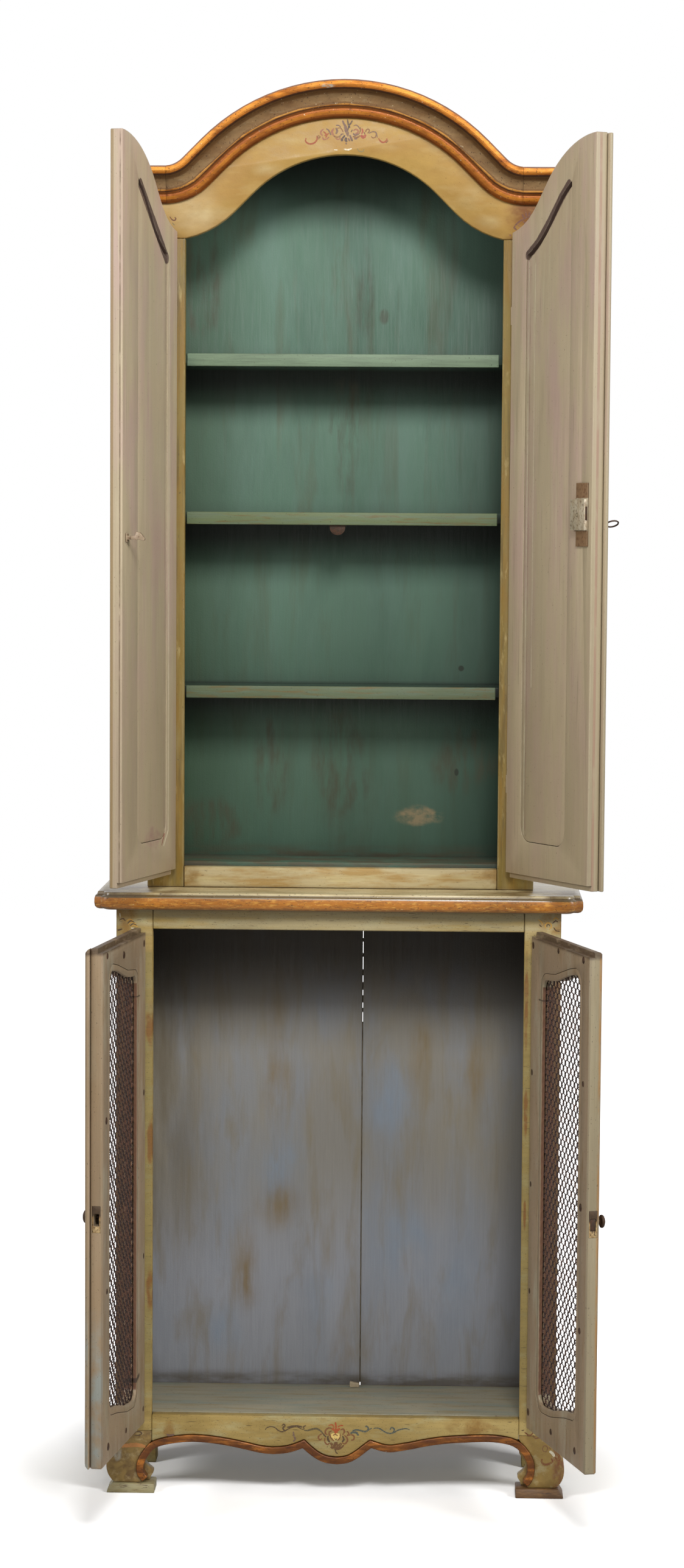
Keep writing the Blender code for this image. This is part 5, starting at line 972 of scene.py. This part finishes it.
brushColours = {
    "mulberry": "#5b3527", "plum": "#6f564c", "ink": "#4b3c3a", "rose": "#94604c", "rust": "#93492f",
    "brown": "#7a5236", "madder": "#9c4a3c", "umber": "#4d3826", "moss": "#5a4f36", "sienna": "#7b4a2a",
    "coral": "#a84a22", "straw": "#e8c878", "leaf": "#664326", "slate": "#46504c", "chip": "#dcd3ba",
    "grime": "#7f7148", "copper": "#a8703c", "gold": "#c99a44"}
ornaments = {
    "friezeBouquet": {"on": ["upper_arched_rail"], "ground": "#a68441", "strokes": [
        ("rust", 2.4, (-61.5, 2158.5), (-62.4, 2154.7), (-59.5, 2150.9), (-54.7, 2149.5), (-49, 2150.9),
         (-45.2, 2154.7), (-44.2, 2158.5), (-44.3, 2162.3)),
        ("brown", 1.6, (-44.3, 2162.3), (-41.4, 2158.5), (-38.5, 2161.4)),
        ("brown", 1.4, (-42.3, 2156.7), (-40.4, 2160.4), (-42.3, 2163.3)),
        ("rose", 2.2, (-33.8, 2172.8), (-37.6, 2169.9), (-38.5, 2166.1), (-35.6, 2162.4)),
        ("rust", 2, (-34.7, 2169), (-31.8, 2167.1), (-28.9, 2163.3), (-30.8, 2159.5)),
        ("rose", 2.2, (-35.6, 2160.5), (-33.7, 2156.7), (-28.9, 2157.6), (-25.1, 2160.5)),
        ("plum", 2, (-29.9, 2173.3), (-26.1, 2170.9), (-24.1, 2167.1), (-22.2, 2163.3)),
        ("rust", 1.8, (-32.7, 2162.4), (-28.9, 2164.3), (-25.1, 2166.2)),
        ("rose", 3, (-17.5, 2173.8), (-20.3, 2170), (-20.3, 2166.2), (-17.4, 2162.4)),
        ("plum", 3, (-14.6, 2174.7), (-12.6, 2170), (-14.5, 2165.3)),
        ("plum", 1.8, (-14.6, 2178.5), (-10.8, 2178.5), (-6.9, 2176.2)),
        ("brown", 1.6, (-12.7, 2173.8), (-7.9, 2174.8), (-5, 2171.9), (-3, 2168.1)),
        ("brown", 2.4, (-18.4, 2162.4), (-13.5, 2160.1), (-8.8, 2161.5)),
        ("rose", 1.8, (-15.5, 2158.6), (-10.6, 2156.8), (-6.8, 2159.6)),
        ("plum", 2, (-9.7, 2159.6), (-5.9, 2164.4), (-2.1, 2165.3)),
        ("plum", 3, (-4.1, 2186.1), (-2.2, 2181.4), (0.7, 2176.7), (2.7, 2171), (2.7, 2164.4)),
        ("ink", 2.2, (3.5, 2188), (4.5, 2182.4), (5.5, 2176.7), (3.7, 2170.1)),
        ("ink", 2.2, (11.2, 2186.2), (9.3, 2182.4), (6.5, 2178.6), (7.5, 2174.8)),
        ("plum", 4.2, (-0.2, 2177.6), (0.8, 2171.9), (3.7, 2166.3), (4.7, 2161.6)),
        ("plum", 1.6, (13.2, 2177.7), (17, 2179.1), (20.9, 2176.7), (22.8, 2173)),
        ("ink", 1.5, (11.3, 2172), (9.4, 2168.2)),
        ("rose", 2.4, (13.2, 2170.1), (16.1, 2172.5), (20, 2171.1), (20, 2167.3), (16.1, 2166.3)),
        ("plum", 2.6, (12.3, 2166.3), (16.2, 2163.5), (21.9, 2165.4)),
        ("brown", 1.8, (23.8, 2175.8), (23.8, 2170.1), (21.9, 2165.4)),
        ("brown", 2.6, (12.3, 2161.6), (18.1, 2159.7), (23.8, 2162.6)),
        ("plum", 2, (14.3, 2157.8), (19.1, 2157.8)),
        ("ink", 2.6, (-0.1, 2163.4), (-3, 2159.6), (-6.8, 2155.8)),
        ("ink", 3.6, (-6.8, 2155.4), (-3, 2156.3)),
        ("ink", 3.6, (1.8, 2159.7), (0.9, 2155.9), (2.8, 2152.6)),
        ("plum", 2.8, (7.5, 2163.5), (9.5, 2158.7), (11.4, 2155)),
        ("ink", 2.4, (9.5, 2155.9), (12.4, 2155)), ("plum", 2.4, (4.7, 2158.7), (7.6, 2154)),
        ("plum", 2, (0.9, 2151.1), (2.8, 2149.2)),
        ("madder", 2.2, (26.6, 2173.9), (27.6, 2169.2), (25.7, 2165.4)),
        ("madder", 4, (24.8, 2163.5), (28.7, 2160.2), (32.5, 2164)),
        ("brown", 1.6, (29.6, 2168.3), (31.5, 2164.5)),
        ("brown", 1.7, (32.4, 2168.3), (33.4, 2171.6), (36.2, 2173), (38.2, 2170.2), (35.3, 2166.4)),
        ("plum", 1.7, (37.2, 2166.4), (43, 2168.8), (47.8, 2168.3), (49.7, 2164.6), (50.7, 2159.8)),
        ("brown", 1.5, (41.1, 2161.7), (44, 2159.3), (47.8, 2160.8), (48.8, 2164.6)),
        ("rust", 2.2, (52.6, 2158.9), (55.5, 2154.6), (60.4, 2152.3), (65.1, 2155.2), (66.1, 2158.5)),
        ("brown", 1.4, (64.2, 2151.4), (68, 2155.2)), ("chip", 1.4, (-17.3, 2140.6), (-11.5, 2140.2)),
        ("chip", 2.2, (-1.9, 2141.7), (4.8, 2140.7), (10.6, 2142.6)),
        ("grime", 1.5, (19.2, 2142.7), (22.1, 2138.9), (27.9, 2138), (29.8, 2141.8))
    ]},
    "friezeCornerSprigs": {"on": ["upper_arched_rail"], "ground": "#8a5a1c", "strokes": [
        ("mulberry", 2.1, (266.8, 2019.5), (270.5, 2025.2), (277.2, 2030.9), (283.8, 2034.8),
         (290.5, 2037.6)), ("mulberry", 2.1, (279.9, 2041.4), (282.9, 2035.7)),
        ("mulberry", 2.3, (285.6, 2045.2), (286.7, 2037.6)),
        ("mulberry", 2, (292.3, 2045.2), (289.6, 2037.6)),
        ("mulberry", 1.9, (295.3, 2041.5), (290.5, 2036.7)),
        ("madder", 1.8, (288.7, 2031.9), (293.4, 2033.9)), ("mulberry", 1.9, (281, 2031), (285.8, 2027.2)),
        ("brown", 1.5, (273.4, 2025.2), (277.3, 2021.5)),
        ("mulberry", 2.2, (267.7, 2020.5), (271.6, 2016.7)), ("brown", 2.2, (260.2, 2009), (263, 2008.1)),
        ("mulberry", 1.8, (-276.4, 2035.2), (-272.5, 2030.5), (-268.7, 2029.5), (-266.8, 2032.4),
         (-268.7, 2034.3)), ("grime", 1.6, (-272.5, 2025.7), (-268.7, 2021.9))
    ]},
    "apronHeart": {"on": ["apron", "apron_bead"], "ground": "#a88f52", "strokes": [
        ("umber", 1.7, (-112, 104.4), (-110, 107.4), (-105.2, 109.5), (-100.3, 109.5), (-95.4, 107.6),
         (-91.4, 103.7), (-85.6, 101.8), (-80.7, 102.8), (-75.8, 105.9), (-69, 109), (-61.2, 110.1),
         (-55.3, 107.2), (-49.4, 105.3)),
        ("umber", 2.4, (-85.6, 111.7), (-82.7, 113.8), (-80.7, 111.8), (-83.6, 107.8), (-81.7, 104.3),
         (-78.7, 103.9)), ("umber", 3, (-76.8, 108.9), (-69, 110.5), (-61.2, 111.1), (-52.4, 109.7)),
        ("moss", 2.8, (-49.4, 104.3), (-43.5, 104.4), (-36.7, 106.5), (-29.9, 107.5), (-24, 104.6),
         (-20.1, 100.7)), ("umber", 1.8, (-49.4, 106.3), (-50.4, 110.2), (-46.5, 112.3)),
        ("umber", 2.2, (-20.1, 100.7), (-17.1, 96.8), (-14.1, 93.8)),
        ("sienna", 2.2, (-20, 99.7), (-24.9, 96.7), (-26.8, 92.7), (-23.9, 89.2), (-21, 91.8)),
        ("sienna", 2.4, (-5.4, 107.9), (-10.3, 108.8), (-15.2, 104.8), (-15.2, 99.8), (-12.2, 97.9)),
        ("sienna", 2.2, (-9.3, 95.9), (-9.3, 101.9), (-5.4, 103.9)),
        ("umber", 3.2, (-11.2, 95.9), (-11.2, 89.9), (-8.2, 86)),
        ("sienna", 2.2, (-16.1, 92.8), (-16, 85.9), (-12.1, 81.9), (-8.2, 85)),
        ("coral", 2, (-10.4, 112.8), (-4.5, 113.9), (-1.5, 108.9)),
        ("coral", 2.6, (0.4, 118.4), (1.4, 112), (1.4, 106)),
        ("coral", 2, (4.3, 110), (8.2, 113), (13.1, 113.1)),
        ("coral", 4, (-5.4, 107.9), (1.4, 105), (8.2, 108.1)), ("coral", 4.2, (-1.5, 102), (4.4, 102.1)),
        ("sienna", 2.6, (9.2, 106.1), (13.1, 107.2), (15.1, 103.2), (12.2, 98.2)),
        ("sienna", 2.2, (19, 104.3), (22, 100.3), (19.1, 96.3)),
        ("sienna", 2.2, (19.1, 96.3), (25.9, 98.4), (30.8, 95.5), (29.8, 90.5), (25.9, 89.4)),
        ("sienna", 2.4, (15.1, 97.2), (19.1, 93.3), (20.1, 88.4), (16.2, 83.3), (11.3, 85.3)),
        ("umber", 2.6, (12.2, 96.2), (14.2, 90.3), (11.3, 86.3)), ("straw", 7.5, (-4.4, 99.9), (-2.4, 95)),
        ("straw", 7.5, (5.4, 100.1), (4.4, 95.1)), ("straw", 7, (-0.5, 97), (1.5, 89.1)),
        ("straw", 5, (-5.4, 96), (1.5, 93.1), (7.3, 96.1)),
        ("sienna", 1.6, (-3.4, 96.5), (0.6, 98.5), (4.4, 96)),
        ("umber", 1.4, (-0.6, 92), (1.5, 90), (3.4, 92)),
        ("sienna", 1.5, (-7.6, 99), (-6.6, 93), (-1.5, 87.6)),
        ("sienna", 1.5, (8.2, 99.6), (8, 93.6), (4, 88)),
        ("leaf", 4.2, (-7.2, 85), (-3.3, 79.1), (-0.3, 75.2)),
        ("leaf", 6.5, (1.5, 86.1), (1.6, 79.2), (1.6, 73.2)),
        ("leaf", 4.2, (10.3, 84.3), (6.5, 79.2), (3.6, 74.2)),
        ("leaf", 2.6, (14.3, 81.3), (9.4, 76.3), (2.6, 73.2)), ("leaf", 2.2, (-7.2, 78), (-3.3, 75.1)),
        ("umber", 1.8, (0.6, 74.2), (1.7, 69.2), (4.6, 67.3)),
        ("slate", 3.2, (24.9, 100.4), (28.8, 102.4), (34.7, 101.5), (37.6, 97.1)),
        ("slate", 2.6, (27.8, 104.4), (33.6, 106.4), (40.5, 105.5), (47.3, 103.7), (52.2, 105.7),
         (53.2, 109.7), (50.2, 112.6), (48.3, 111.6)),
        ("slate", 1.6, (52.2, 105.7), (56.1, 107.8), (59, 109.8)),
        ("slate", 2, (61.9, 108.8), (65.8, 109.9), (71.7, 109), (77.6, 105.1), (83.5, 102.2), (89.3, 101.3),
         (95.2, 103.3), (100, 106.4), (106.9, 108.5), (113.7, 109.6), (119.5, 107.7)),
        ("slate", 2.2, (93.2, 103.3), (95.2, 107.3), (93.2, 110.3), (90.2, 110.7), (88.3, 107.2)),
        ("plum", 2.6, (-67, 102), (-66, 95.1), (-63, 89.2)), ("plum", 2.2, (-66.9, 86.1), (-64, 89.2)),
        ("chip", 2.6, (81.8, 72.3), (83.7, 71.4))
    ]},
    "rightFootScrolls": {"on": ["apron", "base_stile_right", "front_foot_right"], "ground": "#94793f",
                   "strokes": [
        ("sienna", 2.2, (303.9, 106), (306.8, 104.1), (310.7, 101.2), (314.6, 102.2), (317.5, 106.2)),
        ("sienna", 2.8, (311.5, 116.1), (313.5, 111.1), (318.4, 109.2), (322.4, 107.3)),
        ("brown", 2, (317.6, 100.3), (321.5, 96.4), (327.3, 97.4), (331.2, 96.5)),
        ("brown", 3.4, (321.3, 110.3), (328.2, 103.4), (334.2, 97.5), (339.1, 91.6), (344, 86.8)),
        ("umber", 2.4, (339.1, 91.6), (342, 88.7)),
        ("brown", 2.4, (346, 85.8), (351.9, 78.9), (356.8, 74), (360.8, 68.1)),
        ("sienna", 3.4, (354.8, 77), (358.8, 69.1), (359.9, 60.2), (358.1, 52.2)),
        ("brown", 1.5, (334.4, 74.7), (332.9, 79.6), (335.3, 84.1), (339.2, 83.7), (341.2, 79.8),
         (338.3, 74.8), (334.4, 75.7)), ("brown", 1.4, (343.1, 81.8), (346.1, 78.8)),
        # the broad pale stroke on the scroll is a painted highlight
        ("chip", 4, (344.1, 75.8), (349.1, 71.9), (352, 67)),
        ("sienna", 3, (332.6, 62.8), (331.7, 58.8), (334.6, 54.8), (339.5, 53.9), (345.4, 56), (349.2, 59),
         (347.2, 64)), ("sienna", 2.6, (353, 66), (357, 62.1), (359.9, 63.1)),
        ("umber", 1.4, (299, 108.9), (302.8, 109.5))
    ]},
    "leftFootMarks": {"on": ["apron", "base_stile_left", "front_foot_left"], "ground": "#836a38",
                   "strokes": [
        ("umber", 1.8, (-325.5, 93.2), (-321.6, 97.2), (-314.7, 98.3), (-310.8, 95.4), (-315.7, 92.3),
         (-322.6, 92.2)), ("copper", 6, (-343.1, 74), (-331.3, 75.7), (-317.6, 76.4), (-302.9, 73.6)),
        ("plum", 3.2, (-270.6, 95), (-264.7, 92.1), (-258.8, 95.1)),
        ("plum", 2.2, (-268.6, 90), (-260.8, 89.1))
    ]},
    "baseCornerScrolls": {"on": ["base_stile_left", "base_stile_right", "base_top_rail"], "ground": "#8f6a2e",
                   "strokes": [
        ("gold", 1.7, (-336.6, 922.4), (-331.8, 926.3), (-326, 923.4)),
        ("gold", 1.6, (-333.7, 917.5), (-327.9, 921.5), (-321.1, 918.6)),
        ("gold", 1.5, (-329.8, 913.7), (-325, 916.6), (-318.2, 913.8)),
        ("umber", 1.5, (-334.7, 919.9), (-329.9, 923.6), (-324, 921)),
        ("umber", 1.3, (-330.8, 915.6), (-326, 918.9), (-320.2, 916.2)),
        ("chip", 1.6, (-329.8, 912.2), (-323.1, 911.3)), ("chip", 1.3, (-347.3, 935.8), (-346.8, 929.1)),
        ("umber", 2, (-359.9, 935.7), (-354.1, 930), (-357.9, 922.1)),
        ("umber", 1.7, (-348.3, 924.2), (-342.5, 927.2), (-338.6, 923.3)),
        ("umber", 2.4, (-357.9, 912.4), (-351.1, 908.6), (-343.4, 910.6)),
        ("gold", 1.7, (328.5, 918.3), (327.5, 923.1), (331.3, 927), (336.2, 925.1), (337.2, 920.3),
         (333.4, 916.4)), ("umber", 1.3, (330.4, 920.2), (330.4, 923.1), (333.3, 924.1), (334.8, 921.3)),
        ("gold", 1.6, (339.9, 931), (343.7, 934.9), (348.6, 932)),
        ("gold", 1.5, (315.9, 931.7), (320.7, 928.9), (323.7, 924)),
        ("umber", 1.7, (339, 926.1), (343.8, 930.1), (347.7, 928.2)),
        ("umber", 1.8, (341, 919.4), (344.9, 914.6), (350.7, 913.7)),
        ("umber", 1.6, (317.9, 924), (321.8, 920.2))
    ]}}

# The films are in metres, and each stroke lies over the one before. A brush swells along the stroke and trembles.
film = {"thickness": 0.00009, "lift": 0.00002, "over": 0.0000025, "steps": 5, "from": -0.5}
brush = {"least": 0.42, "swell": 0.72, "start": 0.12, "run": 0.76, "tremble": 0.12, "beat": 2.3}
oil = {"rub": 420, "detail": 3, "grit": 0.6, "low": 0.52, "high": 0.68, "thin": 0.04, "bare": 0.6, "relief": 0.2,
       "bump": 0.0004, "roughness": 0.5}


def easedPath(path):
    # a soft curve through the points of a stroke
    ends = [path[0], *path, path[-1]]
    points = []
    for index in range(1, len(ends) - 2):
        before, start, end, after = [Vector(ends[index + k]) for k in (-1, 0, 1, 2)]
        for step in range(film["steps"]):
            t = step / film["steps"]
            points.append(0.5 * (
                2 * start + (end - before) * t + (2 * before - 5 * start + 4 * end - after) * t * t
                + (3 * start - before - 3 * end + after) * t ** 3))
    return points + [Vector(path[-1])]


def brushedOrnament(name, ornament):
    solids, _ = solidTree("cabinet", *ornament["on"])
    bm = bmesh.new()
    tint = bm.verts.layers.float_color.new("strokeTint")
    for order, (colour, width, *path) in enumerate(ornament["strokes"]):
        points = easedPath(path)
        last = len(points) - 1
        rows = []
        for index, point in enumerate(points):
            run = points[min(index + 1, last)] - points[max(index - 1, 0)]
            run = run.normalized() if run.length else Vector((1, 0))
            fullness = (brush["least"]
                        + brush["swell"] * math.sin(math.pi * (brush["start"] + brush["run"] * index / last))
                        + brush["tremble"] * math.sin(index * brush["beat"] + width))
            found = []
            for sign in (1, -1):
                aside = point + Vector((-run.y, run.x)) * sign * width / 2 * fullness
                found.append(solids.ray_cast(Vector((aside.x / 1000, film["from"], aside.y / 1000)),
                                             Vector((0, 1, 0)))[0])
            if None in found:
                continue
            depth = min(found[0].y, found[1].y) - film["lift"] - order * film["over"]
            rows.append([bm.verts.new((found[side].x, depth - film["thickness"] * outer, found[side].z))
                         for side, outer in ((0, 1), (1, 1), (1, 0), (0, 0))])
            for corner in rows[-1]:
                corner[tint] = toLinear(brushColours[colour])
        for start, end in zip(rows, rows[1:]):
            for side in range(4):
                bm.faces.new((start[side], start[(side + 1) % 4], end[(side + 1) % 4], end[side]))
        if len(rows) > 1:
            bm.faces.new(rows[0][::-1])
            bm.faces.new(rows[-1])
    madePiece(bm, name, brushFinish(ornament["ground"]), "cabinet")


def brushFinish(ground):
    # thin oil colour laid by hand, rubbed through in places so that the ground shows
    material = bpy.data.materials.new("brushedOilColour" + ground[1:])
    tree = emptyTree(material)
    place = patternPlace(tree, "cabinet")
    ink = addNode(tree, "ShaderNodeAttribute", attribute_name="strokeTint")
    rub = addNode(tree, "ShaderNodeTexNoise", {
        "Vector": place, "Scale": oil["rub"], "Detail": oil["detail"], "Roughness": oil["grit"]})
    worn = addNode(tree, "ShaderNodeMapRange", {
        "Value": rub, "From Min": oil["low"], "From Max": oil["high"], "To Min": oil["thin"],
        "To Max": oil["bare"]})
    mixed = addNode(tree, "ShaderNodeMix", {0: worn, 6: ink.outputs["Color"], 7: toLinear(ground)},
                    data_type="RGBA")
    bump = addNode(tree, "ShaderNodeBump", {
        "Strength": oil["relief"], "Distance": oil["bump"], "Height": rub})
    shader = addNode(tree, "ShaderNodeBsdfPrincipled", {
        "Base Color": mixed.outputs[2], "Roughness": oil["roughness"], "IOR": brushwork["ior"],
        "Normal": bump})
    addNode(tree, "ShaderNodeOutputMaterial", {"Surface": shader})
    return material


for name, ornament in ornaments.items():
    brushedOrnament(name, ornament)
print("ornaments painted")


# Batten, laths and wads behind the back joint, which lets light through between them, and the wedge left on the
# floor. Corners and cuts are in millimetres in the shut case, and the wedge is pinched at one end.

smallWood = {
    "jointBatten": {"low": (28.5, 237.1, 130), "high": (39.5, 239.8, 735), "cut": 0.6},
    "jointLathLeft": {"low": (28.5, 237.1, 735.2), "high": (33.4, 239.8, 886), "cut": 0.4},
    "jointLathRight": {"low": (34.9, 237.1, 735.2), "high": (39.5, 239.8, 886), "cut": 0.4},
    **{"jointWad" + letter: {"low": (33.45, 237.3, foot), "high": (34.85, 239.6, head), "cut": 0.2}
       for letter, foot, head in (("A", 751, 758), ("B", 767, 779), ("C", 788, 801), ("D", 812, 822),
                                  ("E", 843, 849), ("F", 868, 874))},
    "floorWedge": {"low": (17.5, 205, 128.1), "high": (33.5, 215, 137), "cut": 1.2, "pinch": 0.7}}
softCorner = {"segments": 2, "profile": 0.6}
for name, block in smallWood.items():
    bm = bmesh.new()
    bmesh.ops.create_cube(bm, size=1)
    for point in bm.verts:
        pinch = block.get("pinch", 1) if point.co.z > 0 and point.co.x > 0 else 1
        point.co = [(low + (share + 0.5) * (high - low) * narrow) / 1000 for low, high, share, narrow in
                    zip(block["low"], block["high"], point.co, (1, 1, pinch))]
    bmesh.ops.bevel(bm, geom=bm.edges, offset=block["cut"] / 1000, affect="EDGES", **softCorner)
    madePiece(bm, name, finishFor(scrapedPine, "cabinet"), "cabinet")
print("batten and wedge made")


# Camera where the photograph's straight edges put it, in shut-case coordinates

view = {"place": (0.1795, -5.9135, 1.5415), "yaw": -0.0295, "pitch": 0.0883, "roll": 0.0068, "focal": 6164.57,
        "height": 2576, "axisDrop": 131, "sensor": 36}
lens = bpy.data.cameras.new("photoCamera")
lens.sensor_fit = "VERTICAL"
lens.sensor_height = view["sensor"]
lens.lens = view["sensor"] * view["focal"] / view["height"]
lens.shift_y = view["axisDrop"] / view["height"]
camera = bpy.data.objects.new("photoCamera", lens)
scene.collection.objects.link(camera)
camera.matrix_world = (
    Matrix.Translation(Vector(view["place"]) + caseShift) @ Matrix.Rotation(-view["yaw"], 4, "Z")
    @ Matrix.Rotation(math.pi / 2 - view["pitch"], 4, "X") @ Matrix.Rotation(view["roll"], 4, "Z"))
scene.camera = camera

# Studio: pale floor that keeps the shadow, one soft lamp in front and one at each side

studio = {"world": 0.06, "floor": 9.0, "wall": 1.0, "paper": 0.8, "seenPaper": 1.5, "glow": 0.09, "farGlow": 0.95,
          "near": 0.4, "far": 0.95}
lamps = {
    "frontLamp": {"power": 140, "size": 1.2, "place": (0.45, -4.0, 4.2), "aim": (0, 0.1, 1.2)},
    "rightLamp": {"power": 118, "size": 1.5, "place": (3.6, -2.8, 3.2), "aim": (0, 0, 1.1)},
    "leftLamp": {"power": 85, "size": 1.5, "place": (-3.6, -2.8, 3.1), "aim": (0, 0, 1.1)}}
for name, lamp in lamps.items():
    light = bpy.data.lights.new(name, "AREA")
    light.shape = "SQUARE"
    light.size = lamp["size"]
    light.energy = lamp["power"]
    bulb = bpy.data.objects.new(name, light)
    bulb.location = lamp["place"]
    bulb.rotation_euler = (Vector(lamp["aim"]) - Vector(lamp["place"])).to_track_quat("-Z", "Y").to_euler()
    scene.collection.objects.link(bulb)

world = bpy.data.worlds.new("studio")
scene.world = world
tree = emptyTree(world)
rays = addNode(tree, "ShaderNodeLightPath").outputs
seen = addNode(tree, "ShaderNodeMath", {0: rays["Is Camera Ray"], 1: rays["Is Glossy Ray"]}, operation="MAXIMUM")
seen = addNode(tree, "ShaderNodeMath", {0: seen, 1: rays["Is Transmission Ray"]}, operation="MAXIMUM")
strength = addNode(tree, "ShaderNodeMapRange", {
    "Value": seen, "To Min": studio["world"], "To Max": studio["wall"]})
sky = addNode(tree, "ShaderNodeBackground", {"Color": (1, 1, 1, 1), "Strength": strength})
addNode(tree, "ShaderNodeOutputWorld", {"Surface": sky})

bm = bmesh.new()
bmesh.ops.create_grid(bm, x_segments=1, y_segments=1, size=studio["floor"])
ground = bpy.data.meshes.new("studioFloor")
bm.to_mesh(ground)
bm.free()
floor = bpy.data.objects.new("studioFloor", ground)
scene.collection.objects.link(floor)
# Matt background paper, its colour raised for camera rays, with a glow for camera rays that grows away from
# the cupboard: white where it is lit and far off, grey in the shadow near the cupboard
paper = bpy.data.materials.new("whitePaper")
tree = emptyTree(paper)
rays = addNode(tree, "ShaderNodeLightPath").outputs
paperPlace = addNode(tree, "ShaderNodeTexCoord").outputs["Object"]
away = addNode(tree, "ShaderNodeVectorMath", {0: paperPlace}, operation="LENGTH")
fade = addNode(tree, "ShaderNodeMapRange", {
    "Value": away.outputs["Value"], "From Min": studio["near"], "From Max": studio["far"],
    "To Min": studio["glow"], "To Max": studio["farGlow"]}, interpolation_type="SMOOTHSTEP")
shown = addNode(tree, "ShaderNodeMath", {0: rays["Is Camera Ray"], 1: fade}, operation="MULTIPLY")
tone = addNode(tree, "ShaderNodeMapRange", {
    "Value": rays["Is Camera Ray"], "To Min": studio["paper"], "To Max": studio["seenPaper"]})
matt = addNode(tree, "ShaderNodeBsdfDiffuse", {"Color": tone})
glow = addNode(tree, "ShaderNodeEmission", {"Color": (1, 1, 1, 1), "Strength": shown})
both = addNode(tree, "ShaderNodeAddShader", {0: matt, 1: glow})
addNode(tree, "ShaderNodeOutputMaterial", {"Surface": both})
ground.materials.append(paper)
scene.view_settings.view_transform = "Standard"
print("camera and lamps set")
